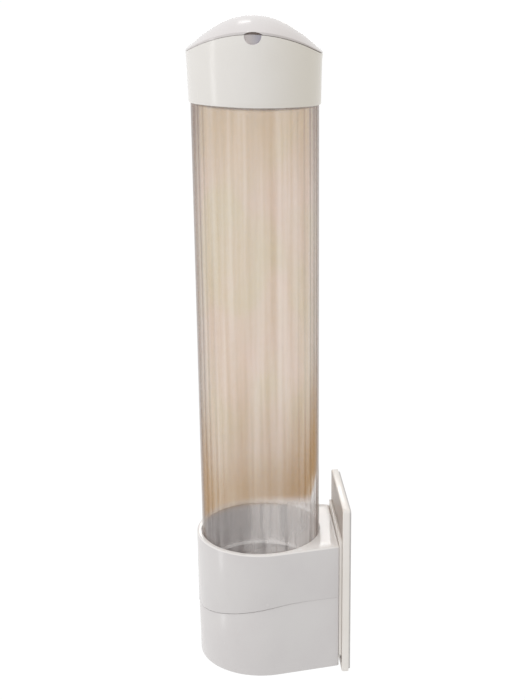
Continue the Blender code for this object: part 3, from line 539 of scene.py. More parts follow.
def tube_zones(across, deep, height):
    """Shares from 0 to 1 that say in which part of the tube a point lies."""
    front = maths("MINIMUM", deep, 0)
    reach = (DECK_REACH**2 - front * front) ** 0.5
    rise = height - (across + reach) * SIGHT_SLOPE - PLATE_STEP * between(*PLATE_SIDE, deep)
    clear = above_deck(-6, 5, rise)
    return SimpleNamespace(
        clear=clear,
        low=above_deck(110, 25, rise),
        near=above_deck(45, 8, rise) * clear,
        foot=above_deck(26, 4, height) * (1 - clear),
        high=between(345 * MM, 415 * MM, height),
        aft=between(-12 * MM, 30 * MM, deep),
        # Painted shade of the socket seen through the wall, darker towards the front.
        socket_painted_shade=between(6 * MM, -22 * MM, deep),
        shade=between(*COLLAR_SHADOW, height + deep * math.tan(CAP_LEAN)),
    )


# %% Stripes of the tube
def drawn_noise(where, across, along, detail, roughness):
    """Soft random stripes, with scales of their own across and along the tube."""
    return noise(stretched(where, across, along), 1, detail, roughness)


def tube_stripes(where, across, deep):
    """Shares from 0 to 1 of the ribs and of the coarse and fine lines that run along the tube."""
    wave = maths("COSINE", maths("ARCTAN2", deep, across) * FLUTES)
    return SimpleNamespace(
        rib=(0.5 + 0.5 * wave) ** 5,
        hair=between(0.58, 0.74, drawn_noise(where, 1000, 3, 2, 0.6)),
        streak=between(0.36, 0.68, drawn_noise(where, 120, 4, 2, 0.6)),
        drift=between(0.43, 0.57, drawn_noise(where, 24, 17, 1, 0.5)),
        marks=between(0.50, 0.62, drawn_noise(where, 200, 14, 2, 0.5)),
    )


def tube_edges(finish):
    """Shares from 0 to 1 that grow as the wall is seen more and more edge on."""
    edge_on = finish.node("ShaderNodeLayerWeight", {}, {"Blend": 0.5}, "Facing")
    return SimpleNamespace(
        side=between(0.36, 0.60, edge_on),
        outline=between(0.66, 0.82, edge_on),
        line=between(0.80, 0.94, edge_on),
    )


# %% The tube's tint and veil
# Painted colours: the warm room seen through the wall, the surroundings bent in at the sides, the shadow
# under the collar, and the socket with its shade.
PEACH, STRAW = (0.76, 0.47, 0.28), (0.66, 0.47, 0.16)
AMBER, TAN = (0.66, 0.37, 0.03), (0.50, 0.25, 0.025)
MAUVE, RUSSET, UMBER = (0.40, 0.31, 0.26), (0.24, 0.10, 0.05), (0.16, 0.08, 0.04)
SOCKET_SEEN_PALE, SOCKET_PAINTED_SHADE = (0.92, 0.88, 0.86), (0.20, 0.17, 0.165)


def painted_tube_view(zone, stripe, edge):
    """The painted tint: the warm room seen through over the clear part, the socket and its painted shade
    below the slant, and a painted shadow under the collar.
    """
    coats = (
        (zone.high * 0.75, AMBER),
        (stripe.streak * 0.25 + stripe.hair * 0.10 + zone.aft * 0.12, TAN),
        (edge.side * 0.75, MAUVE),
        (zone.low * (0.80 + 0.18 * zone.aft), TAN),
        (zone.high * edge.side * (0.3 + 0.6 * stripe.streak), RUSSET),
    )
    warm = tint(stripe.drift, PEACH, STRAW)
    for share, coat in coats:
        warm = tint(share, warm, coat)
    # Painted view of the socket: pale, with painted shade towards the front, in the streaks and in the marks
    # near its foot.
    darker = zone.socket_painted_shade * 0.68 + stripe.streak * 0.12 * (1 - zone.socket_painted_shade)
    cool = tint(darker, SOCKET_SEEN_PALE, SOCKET_PAINTED_SHADE)
    cool = tint(zone.foot * stripe.marks * 0.6, cool, SOCKET_PAINTED_SHADE)
    seen = tint(edge.outline * 0.8, tint(zone.clear, cool, warm), UMBER)
    return tint(zone.shade, seen, UMBER)


def fluted_clear():
    """Clear plastic with a painted tint and a haze that run in upright stripes."""
    finish = Finish("fluted_clear", "clear_plastic")
    where = spot_of(finish)
    across, deep, height = (finish.node("ShaderNodeSeparateXYZ", {}, {0: where}, axis) for axis in "XYZ")
    zone = tube_zones(across, deep, height)
    stripe = tube_stripes(where, across, deep)
    edge = tube_edges(finish)
    veil = 0.17 + 0.09 * stripe.streak + 0.02 * stripe.hair + 0.02 * stripe.rib + 0.07 * edge.side
    veil = veil + zone.low * zone.clear * (0.02 + 0.04 * zone.aft + 0.10 * edge.side)
    veil = veil + 0.02 * zone.high + 0.07 * zone.near + 0.12 * zone.foot
    finish.sockets(
        base_color=painted_tube_view(zone, stripe, edge),
        roughness=0.08 + 0.06 * stripe.streak,
        alpha=veil + 0.2 * zone.shade + 0.26 * edge.outline + 0.30 * edge.line,
        normal=bump(stripe.streak, 0.10, 0.0002),
    )
    finish.plug(finish.shader, {"IOR": 1.49, "Specular IOR Level": 0.2})
    return finish


tube_clear = fluted_clear()
print("tube finish:", len(tube_clear.tree.nodes), "nodes")

# %% [markdown]
# ## Zinc-plated steel and foam
#
# The screws, pins and springs are small and bright. Metal takes its colour from its reflections, so a fine
# turning grain in the roughness matters more than its base colour. The foam pad is the opposite: no gloss at
# all, and a skin of tiny closed cells.

# %% Steel and foam
def plated_steel():
    """Bright zinc with a fine grain and a few duller patches."""
    finish = Finish("plated_steel", "steel")
    where = spot_of(finish)
    dull = noise(where, 300, 3)
    grain = noise(where, 2500, 2)
    finish.sockets(
        base_color=tint(dull, (0.66, 0.66, 0.67), (0.54, 0.54, 0.53)),
        metallic=1.0,
        roughness=0.18 + 0.14 * dull + 0.05 * grain,
        normal=bump(grain, 0.15, 0.0001),
    )
    return finish


def closed_foam():
    """Pale foam tape: matt, with small cells."""
    finish = Finish("closed_foam", "foam")
    where = spot_of(finish)
    cells = finish.node("ShaderNodeTexVoronoi", {"feature": "F1"}, {"Vector": where, "Scale": 1800})
    patch = noise(where, 120, 3)
    finish.sockets(
        base_color=tint(patch, (0.60, 0.585, 0.57), (0.70, 0.685, 0.67)),
        roughness=0.86 + 0.1 * patch,
        normal=bump(cells, 0.5, 0.0003),
    )
    return finish


steel = plated_steel()
foam = closed_foam()
print("steel and foam:", len(steel.tree.nodes), len(foam.tree.nodes), "nodes")

# %% [markdown]
# ## The housing's outline
#
# Seen from above, the housing is a round front whose two straight sides run to a flat back that is wider
# than the round. The sides touch the round without a corner, so their lean follows from the two sizes. The
# same outline, drawn in by a millimetre or two, gives each inner wall.

# %% Housing sizes and outline
FIT = 0.3 * MM
SOCKET_RADIUS = TUBE_RADIUS + 0.4 * MM
FRONT_RADIUS = SOCKET_RADIUS + 3.7 * MM
BACK_REACH = FRONT_RADIUS + 7.5 * MM
BACK_HALF_WIDTH = 37.6 * MM
SIDE_LEAN = math.atan2(BACK_REACH, BACK_HALF_WIDTH) - math.acos(
    FRONT_RADIUS / math.hypot(BACK_HALF_WIDTH, BACK_REACH))
CORNER_ROUND = 1.2 * MM
ARC_STEPS = 56
SIDE_STEPS = 14
BACK_STEPS = 24
CORNER_STEPS = 5
print("housing, mm: radius", round(FRONT_RADIUS / MM, 2), "back", round(BACK_REACH / MM, 2),
      "height", round(HOUSING_HEIGHT / MM, 2))


def housing_outline(inset):
    """The housing from above, drawn in by inset, with softly rounded back corners."""
    radius = FRONT_RADIUS - inset
    back = BACK_REACH - inset
    right = arc(radius, FRONT, QUARTER + SIDE_LEAN, ARC_STEPS)
    corner = Vector(((radius - back * math.sin(SIDE_LEAN)) / math.cos(SIDE_LEAN), back))
    start = right[-1]
    end = corner + (start - corner).normalized() * CORNER_ROUND
    right += [start.lerp(end, k / SIDE_STEPS) for k in range(1, SIDE_STEPS + 1)]
    far = corner - Vector((CORNER_ROUND, 0))
    for k in range(1, CORNER_STEPS + 1):
        t = k / CORNER_STEPS
        right.append(end * (1 - t) ** 2 + corner * (2 * t * (1 - t)) + far * t**2)
    back_row = [Vector((far.x * (1 - 2 * k / BACK_STEPS), back)) for k in range(1, BACK_STEPS)]
    left = [Vector((-p.x, p.y)) for p in reversed(right[1:])]
    return right + back_row + left


def housing_ring(inset, height):
    """The outline at one height, or at a list of heights, one for each point."""
    points = housing_outline(inset)
    heights = height if isinstance(height, list) else [height] * len(points)
    return [Vector((p.x, p.y, z)) for p, z in zip(points, heights)]


def bore_ring(radius, height):
    """A round ring with a point in line with each point of the housing's outline."""
    return [Vector((*(p.normalized() * radius), height)) for p in housing_outline(0)]


# %% [markdown]
# ## The wavy seam
#
# The two halves of the housing meet on a line that is low at the front and climbs to the back, easing in
# and out. A smoothstep of the angle round the tube draws it. Both halves follow the same list of heights.
# The gap between them is widest at the front and closes towards the back, where the screws pull the two
# halves together, so its dark line fades out on the way.

# %% Seam heights
SEAM_LOW = HOUSING_HEIGHT - 57.5 * MM
SEAM_RISE = 16.2 * MM
SEAM_SWEEP = math.radians(125)
SEAM_GAP = 0.45 * MM
GAP_OPEN, GAP_CLOSED = math.radians(95), math.radians(138)


def seam(offset, gap=0):
    """The seam's height at each point of the outline, shifted by offset and by a gap that closes up."""
    heights = []
    for point in housing_outline(0):
        bearing = abs(math.atan2(point.x, -point.y))
        share = min(bearing / SEAM_SWEEP, 1)
        closed = min(max((bearing - GAP_OPEN) / (GAP_CLOSED - GAP_OPEN), 0), 1)
        height = SEAM_LOW + SEAM_RISE * share * share * (3 - 2 * share)
        heights.append(height + offset + gap * SEAM_GAP * (1 - closed))
    return heights


print("seam from", round(SEAM_LOW / MM, 1), "to", round((SEAM_LOW + SEAM_RISE) / MM, 1), "mm")

# %% [markdown]
# ## Upper housing
#
# This half carries the bright rim and deck round the tube, and the socket that the tube stands in. Its edges
# catch the light, so each is a real rounding of a few steps rather than a sharp fold: a large one at the
# rim, a small one at the socket's mouth and a hair-fine one along the seam.

# %% Upper housing
WALL = 2.0 * MM
RIM_ROUND = 1.2 * MM
MOUTH_ROUND = 0.6 * MM
SEAM_ROUND = 0.3 * MM
SEAT_TOP = HOUSING_HEIGHT - 31.5 * MM
SEAT_BOTTOM = SEAT_TOP - 2.0 * MM
SEAT_RADIUS = TUBE_RADIUS - 2.4 * MM


def upper_housing_mesh():
    """The upper half, from its seam up over the rim, down the socket and back under the seat."""
    rings = [housing_ring(SEAM_ROUND - a, seam(i, 1)) for i, a in quarter_round(SEAM_ROUND, 3)]
    rings += [housing_ring(i, HOUSING_HEIGHT - RIM_ROUND + a) for i, a in quarter_round(RIM_ROUND, 6)]
    lip = SOCKET_RADIUS + MOUTH_ROUND
    rings += [bore_ring(lip - a, HOUSING_HEIGHT - i) for i, a in quarter_round(MOUTH_ROUND, 4)]
    rings += [
        bore_ring(SOCKET_RADIUS, SEAT_TOP),
        bore_ring(SEAT_RADIUS, SEAT_TOP),
        bore_ring(SEAT_RADIUS, SEAT_BOTTOM),
        housing_ring(WALL, SEAT_BOTTOM),
        housing_ring(WALL, seam(0, 1)),
    ]
    return skin(rings, wrap=True)


def on_rim(spot):
    """Whether a face lies on the rim or the deck."""
    return spot.z > HOUSING_HEIGHT - 0.75 * MM


def in_socket(spot):
    """Whether a face lies inside the tube's socket."""
    return spot.xy.length < SOCKET_RADIUS + 0.05 * MM and SEAT_BOTTOM < spot.z < HOUSING_HEIGHT - MOUTH_ROUND


upper_housing = place("upper_housing_skin", upper_housing_mesh(), housing_white, "dispenser", "upper_housing")
print("faces on the rim:", repaint(upper_housing, lit_rim_white, on_rim))
print("faces in the socket:", repaint(upper_housing, lit_socket_white, in_socket))

# %% [markdown]
# ## Lower housing
#
# The lower half is drawn a hair inside the upper one, so that the seam reads as a fine step with a shadow in
# it. A lip behind the seam laps into the upper half. The floor has the round mouth that cups leave by, and
# four countersunk holes for the screws that hold the pawl carrier.

# %% Lower housing
SEAM_STEP = 0.3 * MM
FOOT_DRAFT = 0.4 * MM
FOOT_ROUND = 1.0 * MM
LIP_WALL = 1.0 * MM
LIP_RISE = 4.0 * MM
LIP_ROOT = 3.0 * MM
FLOOR = 2.2 * MM
CARRIER_OUTER = FRONT_RADIUS - WALL - FIT - LIP_WALL - FIT
CARRIER_BORE = CARRIER_OUTER - 1.0 * MM
PIVOT_RADIUS = math.sqrt(CARRIER_BORE**2 - (6.0 * MM) ** 2) - FIT - 1.7 * MM
MOUTH_RADIUS = PIVOT_RADIUS - 3.8 * MM
SCREW_CIRCLE = MOUTH_RADIUS + 3.4 * MM
print("cup mouth, mm across:", round(2 * MOUTH_RADIUS / MM, 1))


def countersink(axis, centre, start, inward, depth):
    """What a countersunk screw takes out: a funnel and a shank, cut inward from a face."""
    head, shank = 2.75 * MM, 1.4 * MM
    steps = ((head + 0.15 * MM, -1.0 * MM), (head + 0.15 * MM, 0), (head, 0.1 * MM), (shank, 1.4 * MM),
             (shank, depth))
    return turned([(r, start + inward * d) for r, d in steps], axis, centre, 40)


def lower_ring(inset, height):
    """A ring of the lower half: drawn in at the front and sides, but flush with the hanger at the back."""
    stretch = BACK_REACH / (BACK_REACH - inset)
    return [Vector((p.x, p.y * (stretch if p.y > 0 else 1), p.z)) for p in housing_ring(inset, height)]


def lower_housing_mesh():
    """The lower half: a shell with a lap lip behind the seam and a floor round the cup mouth."""
    outer = SEAM_STEP + FOOT_DRAFT
    inner = SEAM_STEP + WALL
    lip_outer = WALL + FIT
    lip_inner = lip_outer + LIP_WALL
    rings = [lower_ring(outer + FOOT_ROUND - a, i) for i, a in quarter_round(FOOT_ROUND, 5)]
    rings += [lower_ring(SEAM_STEP + i, seam(a - SEAM_ROUND)) for i, a in quarter_round(SEAM_ROUND, 3)]
    rings += [
        housing_ring(lip_outer, seam(0)),
        housing_ring(lip_outer, seam(LIP_RISE)),
        housing_ring(lip_inner, seam(LIP_RISE)),
        housing_ring(lip_inner, seam(-LIP_ROOT)),
        housing_ring(inner, seam(inner - lip_inner - LIP_ROOT)),
        housing_ring(inner, FLOOR),
        bore_ring(MOUTH_RADIUS, FLOOR),
    ]
    rings += [bore_ring(MOUTH_RADIUS + i, MOUTH_ROUND - a) for i, a in quarter_round(MOUTH_ROUND, 4)]
    holes = [countersink("z", tuple(polar(SCREW_CIRCLE, QUARTER * (k + 0.5))), 0, 1, FLOOR + 1.0 * MM)
             for k in range(4)]
    return solid(skin(rings, wrap=True), cut=holes)


place("lower_housing_skin", lower_housing_mesh(), housing_white, "dispenser", "lower_housing")

# %% [markdown]
# ## The clear tube
#
# The tube is round outside and fluted inside: 36 shallow hollows with a rib between each two. The ribs work
# as small lenses, which gives the upright stripes. Each flute gets twelve points, because light bent by a
# coarse flute would show its facets. The two ends are rounded over, as a sawn and polished tube is.

# %% Clear tube
TUBE_WALL = 2.0 * MM
FLUTE_DEPTH = 0.8 * MM
FLUTE_STEPS = 12
END_ROUND = 0.4 * MM


def fluted_ring(grow, height):
    """The fluted bore at one height, made wider by grow."""
    points = []
    for k, p in enumerate(circle(1, FLUTES * FLUTE_STEPS)):
        swell = math.sin(HALF * (k % FLUTE_STEPS) / FLUTE_STEPS)
        points.append(Vector((*(p * (TUBE_RADIUS - TUBE_WALL + FLUTE_DEPTH * swell + grow)), height)))
    return points


def tube_mesh():
    """The tube's wall as one skin: up the outside, over the end, down the fluted bore and round again."""
    low, high = TUBE_BOTTOM + END_ROUND, TUBE_TOP - END_ROUND
    sides = FLUTES * FLUTE_STEPS
    edge = quarter_round(END_ROUND, 3)
    rings = [round_ring(TUBE_RADIUS - i, low - a, sides) for i, a in reversed(edge)]
    rings += [round_ring(TUBE_RADIUS - i, high + a, sides) for i, a in edge]
    rings += [fluted_ring(i, high + a) for i, a in reversed(edge)]
    rings += [fluted_ring(i, low - a) for i, a in edge]
    return skin(rings, wrap=True)


place("clear_tube_skin", tube_mesh(), tube_clear, "dispenser", "clear_tube", crisp=60)

# %% [markdown]
# ## Hanger plate
#
# A thin plate is screwed to the housing's back. Four hooks behind it drop into windows of the wall plate.
# From the side only its bright rounded edge shows, so the edge is what has to be right.

# %% Hanger plate
HAIR_GAP = 0.06 * MM
HANGER_FRONT = BACK_REACH + FIT
HANGER_BACK = HANGER_FRONT + 1.8 * MM
HANGER_BOTTOM = 7.0 * MM
HANGER_TOP = HOUSING_HEIGHT + 5.5 * MM
HANGER_HALF_WIDTH = 37.2 * MM
HOOK_HEIGHTS = (HANGER_BOTTOM + 19.0 * MM, HANGER_TOP - 19.0 * MM)
SCREW_HEIGHTS = (HANGER_BOTTOM + 21.0 * MM, HOUSING_HEIGHT - 15.5 * MM)
HOOK_ASIDE, SCREW_ASIDE = 14.0 * MM, 27.0 * MM
HOOK_HALF_WIDTH = 4.0 * MM
HOOK_RISE, HOOK_DROP = 4.0 * MM, 6.0 * MM
SKIN_OF_PLATE = 2.0 * MM
SLAB_CORNER_STEPS = 10


def upright_outline(half_width, bottom, top, corner):
    """An upright rectangle with round corners, as points across and up."""
    right, low, high = half_width - corner, bottom + corner, top - corner
    spots = ((right, low, FRONT), (right, high, 0), (-right, high, QUARTER), (-right, low, HALF))
    return [p for x, z, start in spots for p in arc(corner, start, QUARTER, SLAB_CORNER_STEPS, (x, z))]


def slab(half_width, bottom, top, corner, front, back, front_round, back_round):
    """An upright plate whose front and back edges are rounded over."""
    def ring(inset, depth):
        outline = upright_outline(half_width - inset, bottom + inset, top - inset, corner - inset)
        return [Vector((p.x, depth, p.y)) for p in outline]

    rings = [ring(front_round - a, front + i) for i, a in quarter_round(front_round, 5)]
    rings += [ring(i, back - back_round + a) for i, a in quarter_round(back_round, 4)]
    return skin(rings)


def hanger_mesh():
    """The plate with its four hooks and four countersunk holes."""
    plate = slab(HANGER_HALF_WIDTH, HANGER_BOTTOM, HANGER_TOP, 4.0 * MM, BACK_REACH + HAIR_GAP, HANGER_BACK,
                 0.4 * MM, 0.2 * MM)
    root = HANGER_BACK - 0.9 * MM
    near = HANGER_BACK + FIT + SKIN_OF_PLATE + FIT
    far = near + 1.8 * MM
    hooks = []
    for z in HOOK_HEIGHTS:
        tip, top = z - HOOK_DROP, z + HOOK_RISE
        profile = ((root, z), (near, z), (near, tip), (far, tip), (far, top), (root, top))
        for middle in (-HOOK_ASIDE, HOOK_ASIDE):
            hooks.append(prism(profile, middle - HOOK_HALF_WIDTH, middle + HOOK_HALF_WIDTH, "x"))
    holes = [countersink("y", (x, z), HANGER_BACK, -1, 2.8 * MM)
             for z in SCREW_HEIGHTS for x in (-SCREW_ASIDE, SCREW_ASIDE)]
    return solid(plate, join=hooks, cut=holes)


place("hanger_plate_skin", hanger_mesh(), plate_white, "dispenser", "hanger_plate")

# %% [markdown]
# ## Wall plate and foam pad
#
# The wall plate is the largest flat face of the object, and its rounded front edge draws a bright line all
# round it. The plates lie against each other, so the gaps between them are a hair wide. Behind the plate's
# front skin a deeper well waits for each hook. The pad behind it is foam tape, a little smaller than the
# plate, so the plate seems to float a hair off the wall.

# %% Wall plate
PLATE_FRONT = HANGER_BACK + FIT
PLATE_BACK = PLATE_FRONT + 4.8 * MM
PLATE_BOTTOM, PLATE_TOP = (corner.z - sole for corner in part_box("wall_plate"))
PLATE_HALF_WIDTH = 39.5 * MM
PLATE_SCREWS = (PLATE_BOTTOM + 26.0 * MM, PLATE_TOP - 26.0 * MM)
LIFT = 6.5 * MM


def plate_mesh():
    """The plate with a window and a well for each hook, and two screw holes."""
    body = slab(PLATE_HALF_WIDTH, PLATE_BOTTOM, PLATE_TOP, 2.5 * MM, HANGER_BACK + HAIR_GAP, PLATE_BACK,
                1.0 * MM, 0.2 * MM)
    half = HOOK_HALF_WIDTH + FIT
    behind = PLATE_FRONT + SKIN_OF_PLATE
    cuts = []
    for z in HOOK_HEIGHTS:
        foot, top = z - HOOK_DROP - FIT, z + HOOK_RISE + LIFT + FIT
        for middle in (-HOOK_ASIDE, HOOK_ASIDE):
            left, right = middle - half, middle + half
            cuts.append(block((left, PLATE_FRONT - MM, z - FIT), (right, behind + MM, top)))
            cuts.append(block((left - FIT, behind, foot), (right + FIT, PLATE_BACK + MM, top + FIT)))
    for z in PLATE_SCREWS:
        profile = ((2.6 * MM, PLATE_FRONT - MM), (2.6 * MM, PLATE_FRONT), (2.2 * MM, PLATE_FRONT + 0.4 * MM),
                   (2.2 * MM, PLATE_BACK + MM))
        cuts.append(turned(profile, "y", (0, z), 48))
    return solid(body, cut=cuts)


def pad_mesh():
    """The foam pad, with a larger hole round each of the plate's screw holes."""
    pad = slab(PLATE_HALF_WIDTH - 1.5 * MM, PLATE_BOTTOM + 1.5 * MM, PLATE_TOP - 1.5 * MM, 2.5 * MM,
               PLATE_BACK + HAIR_GAP, PLATE_BACK + FIT + 1.0 * MM, 0.15 * MM, 0.1 * MM)
    holes = [turned([(4.0 * MM, PLATE_BACK), (4.0 * MM, PLATE_BACK + 2 * MM)], "y", (0, z), 48)
             for z in PLATE_SCREWS]
    return solid(pad, cut=holes)


def on_shaded_plate_face(spot):
    """Whether a face lies on the plate's front above the hanger, painted darker and browner as painted shade
    and a painted warm reflection.
    """
    flat = abs(spot.y - (HANGER_BACK + HAIR_GAP)) < 0.05 * MM
    return flat and abs(spot.x) < PLATE_HALF_WIDTH - 0.9 * MM and spot.z > HANGER_BOTTOM


wall_plate = place("wall_plate_skin", plate_mesh(), plate_white, "wall_mount", "wall_plate")
print("faces behind the hanger:", repaint(wall_plate, plate_face_shade, on_shaded_plate_face))
adhesive_pad = place("foam_pad_skin", pad_mesh(), foam, "wall_mount", "adhesive_pad")

# %% [markdown]
# ## The collar
#
# The collar slips over the tube's top. Its upper edge is the surprise: it isn't level, but lies on a barrel
# vault, high at the thumb notch and at the hinge and low at both sides. A ring whose heights come from a
# circle across the cap draws it. The whole cap leans a little towards the wall, which slants its edges. It
# can turn on the tube, and in its rest pose the notch looks to the object's left side, so the finished mesh
# is turned about Z when it is placed.

# %% Cap sizes and the vault
CAP_TURN = math.radians(86)
CAP_SIDES = 192
CAP_RADIUS = TUBE_RADIUS + 2.4 * MM
SHOULDER_BOTTOM = TUBE_TOP + FIT
SHOULDER_TOP = SHOULDER_BOTTOM + 2.0 * MM
COLLAR_BOTTOM = SHOULDER_BOTTOM - 24.0 * MM
COLLAR_CREST = SHOULDER_TOP + 20.9 * MM
COLLAR_BORE = CAP_RADIUS - 2.4 * MM
VAULT_DROP = 15.0 * MM
VAULT_RADIUS = (CAP_RADIUS**2 + VAULT_DROP**2) / (2 * VAULT_DROP)
LID_LIP = 1.8 * MM
LID_SIDE_LIP = 0.9 * MM
LID_TOP = COLLAR_CREST + FIT + LID_LIP + 7.6 * MM
HINGE_REACH = CAP_RADIUS + 3.0 * MM
HINGE_HEIGHT = COLLAR_CREST - 0.5 * MM
KNUCKLE = 2.2 * MM
LID_KNUCKLE_HALF = 6.0 * MM
EAR_WIDTH = 5.7 * MM
WEB_ROOT = CAP_RADIUS - 2.2 * MM
EDGE = 0.2 * MM
print("vault radius, mm:", round(VAULT_RADIUS / MM, 2))


def slant(across):
    """How much lower the cap's edges run at a distance across it, because it leans."""
    return across * math.tan(CAP_LEAN)


def vault(across):
    """The height of the collar's top edge at a distance across the cap."""
    return COLLAR_CREST - VAULT_RADIUS + math.sqrt(VAULT_RADIUS**2 - across**2) - slant(across)


def vault_ring(radius, rise):
    """A ring that follows the vault, raised by rise."""
    return [Vector((p.x, p.y, vault(p.x) + rise)) for p in circle(radius, CAP_SIDES)]


def hinge_bore():
    """The hole that the hinge pin runs through."""
    reach = LID_KNUCKLE_HALF + FIT + EAR_WIDTH + MM
    return turned([(1.06 * MM, -reach), (1.06 * MM, reach)], "x", (HINGE_REACH, HINGE_HEIGHT), 32)


def face_cutter(radius, height, steps, sides):
    """A round cutter that enters the cap's face, with steps of its flare and its depth."""
    profile = [(radius + flare, depth - CAP_RADIUS) for flare, depth in steps]
    return turned(profile, "y", (0, height), sides)


def from_cutter(spot, height):
    """How far a point is from a cutter's axis, and how deep behind the cap's face."""
    aside, back, up = Matrix.Rotation(-CAP_TURN, 3, "Z") @ spot
    return math.hypot(aside, up - height), CAP_RADIUS + back


# %% Collar
SKIRT_BORE = TUBE_RADIUS + FIT
NOTCH = 5.6 * MM
NOTCH_MIDDLE = COLLAR_CREST - 6.3 * MM + NOTCH
SKIRT_DIP = 1.8 * MM
COLLAR_EDGE = 0.5 * MM
WEB_DEPTH = 4.8 * MM


def notch_cutter():
    """The half-round thumb notch, flared a little where it meets the collar's face."""
    steps = ((0.3 * MM, -0.6 * MM), (0.2 * MM, 0.1 * MM), (0, 0.4 * MM), (0, 1.2 * MM), (-0.3 * MM, 1.5 * MM))
    return face_cutter(NOTCH, NOTCH_MIDDLE, steps, 72)


def skirt_ring(radius, rise):
    """A ring near the collar's bottom edge, which is slanted and dips a little at both sides."""
    dip = SKIRT_DIP / CAP_RADIUS**4
    return [Vector((p.x, p.y, COLLAR_BOTTOM + rise - slant(p.x) - dip * p.x**4))
            for p in circle(radius, CAP_SIDES)]


def collar_mesh():
    """The collar: a drafted skirt over the tube, a shoulder on its end, and the vaulted top edge."""
    skirt = SKIRT_BORE + 1.0 * MM
    upper = CAP_RADIUS - 0.4 * MM
    shoulder = SKIRT_BORE - 3.3 * MM
    rings = [skirt_ring(skirt - COLLAR_EDGE + a, i) for i, a in quarter_round(COLLAR_EDGE, 4)]
    rings.append(round_ring(upper, SHOULDER_TOP, CAP_SIDES))
    rings += [vault_ring(CAP_RADIUS - i, a - COLLAR_EDGE) for i, a in quarter_round(COLLAR_EDGE, 4)]
    rings += [
        vault_ring(COLLAR_BORE + EDGE, 0),
        vault_ring(COLLAR_BORE, -EDGE),
        round_ring(COLLAR_BORE, SHOULDER_TOP, CAP_SIDES),
        round_ring(shoulder, SHOULDER_TOP, CAP_SIDES),
        round_ring(shoulder, SHOULDER_BOTTOM, CAP_SIDES),
        round_ring(SKIRT_BORE, SHOULDER_BOTTOM, CAP_SIDES),
        skirt_ring(SKIRT_BORE, EDGE),
        skirt_ring(SKIRT_BORE + EDGE, 0),
    ]
    ear_start = LID_KNUCKLE_HALF + FIT
    ear_end = ear_start + EAR_WIDTH
    foot = (WEB_ROOT, HINGE_HEIGHT - WEB_DEPTH - KNUCKLE)
    tip = (HINGE_REACH + KNUCKLE / 2, HINGE_HEIGHT - KNUCKLE * 0.8)
    knuckles, webs = [], []
    for side in (-1, 1):
        top = vault(side * ear_end) - FIT
        near, far = sorted((side * ear_start, side * ear_end))
        knuckles.append(soft_rod(KNUCKLE, near, far, "x", (HINGE_REACH, HINGE_HEIGHT), EDGE, 48))
        webs.append(prism((foot, tip, (HINGE_REACH, top), (WEB_ROOT, top)), near + EDGE, far - EDGE, "x"))
    return solid(skin(rings, wrap=True), join=webs + knuckles, cut=[hinge_bore(), notch_cutter()])


def in_notch(spot):
    """Whether a face lies on the floor or the wall of the thumb notch."""
    away, depth = from_cutter(spot, NOTCH_MIDDLE)
    return away < NOTCH + 0.05 * MM and 0.35 * MM < depth < 1.6 * MM and spot.z < COLLAR_CREST - 0.1 * MM


collar = place("collar_skin", collar_mesh(), cap_white, "cap", "collar", turn=CAP_TURN)
print("faces of the notch in shade:", repaint(collar, notch_shade, in_notch))

# %% [markdown]
# ## The lid
#
# The lid's edge repeats the collar's vault and its back rises to a low dome. A ring of the dome keeps the
# vault's rise and fall at the rim and loses it towards the middle, so the surface turns from saddle to dome
# without a crease. Below, a short plug reaches into the collar. A knuckle at the back turns on the pin, and a
# heel under it stops the lid when it is open.

# %% Lid
LID_ROUND = 0.5 * MM
CROWN_POWER = 2.1
DOME_SHARES = [math.sin(QUARTER * k / 13) for k in range(1, 13)]
ARCH_DEPTH = 2.4 * MM
ARCH_HALF, ARCH_RISE = 6.3 * MM, 1.75 * MM
ARCH_RADIUS = (ARCH_HALF**2 + ARCH_RISE**2) / (2 * ARCH_RISE)
ARCH_MIDDLE = COLLAR_CREST + ARCH_RISE - ARCH_RADIUS
PLUG_DEPTH = 2.5 * MM
DOME_WALL = 2.2 * MM
HEEL_REACH, HEEL_HALF = 3.2 * MM, 0.5 * MM
HEEL_TILT = math.radians(-44)


def lip_height(across):
    """The height of the lid's upper edge, which thins towards the two sides of the vault."""
    share = across / CAP_RADIUS
    return vault(across) + FIT + LID_LIP - (LID_LIP - LID_SIDE_LIP) * share * share


def dome_ring(share, sink):
    """A ring of the dome: share is the distance out from its middle, sink how far below its skin."""
    reach = CAP_RADIUS - LID_ROUND
    points = []
    for p in circle(1, CAP_SIDES):
        edge = lip_height(p.x * reach) + slant(p.x * reach)
        height = edge + (LID_TOP - edge) * (1 - share**CROWN_POWER) - slant(p.x * reach * share)
        points.append(Vector((p.x * reach * share, p.y * reach * share, height - sink)))
    return points


def lid_gap(across):
    """The gap under the lid's edge: closed at one side of the vault, open at the other, as it leans."""
    return FIT * (0.75 + 0.55 * across / CAP_RADIUS)


def sole_ring(inset, rise):
    """A ring along the lid's lower edge, where rise shrinks towards the closed side."""
    return [Vector((p.x, p.y, vault(p.x) + lid_gap(p.x) + rise * (0.55 + 0.45 * p.x / CAP_RADIUS)))
            for p in circle(CAP_RADIUS - inset, CAP_SIDES)]


def lip_ring(inset, sink):
    """A ring round the lid's upper edge, drawn in by inset and lowered by sink."""
    return [Vector((p.x, p.y, lip_height(p.x) - sink)) for p in circle(CAP_RADIUS - inset, CAP_SIDES)]


def arch_cutter():
    """The low arch in the lid's lip above the thumb notch, a slice of a large circle, softened outside."""
    steps = ((0.25 * MM, -0.5 * MM), (0.12 * MM, 0.1 * MM), (0, 0.3 * MM), (0, ARCH_DEPTH))
    return face_cutter(ARCH_RADIUS, ARCH_MIDDLE, steps, 256)


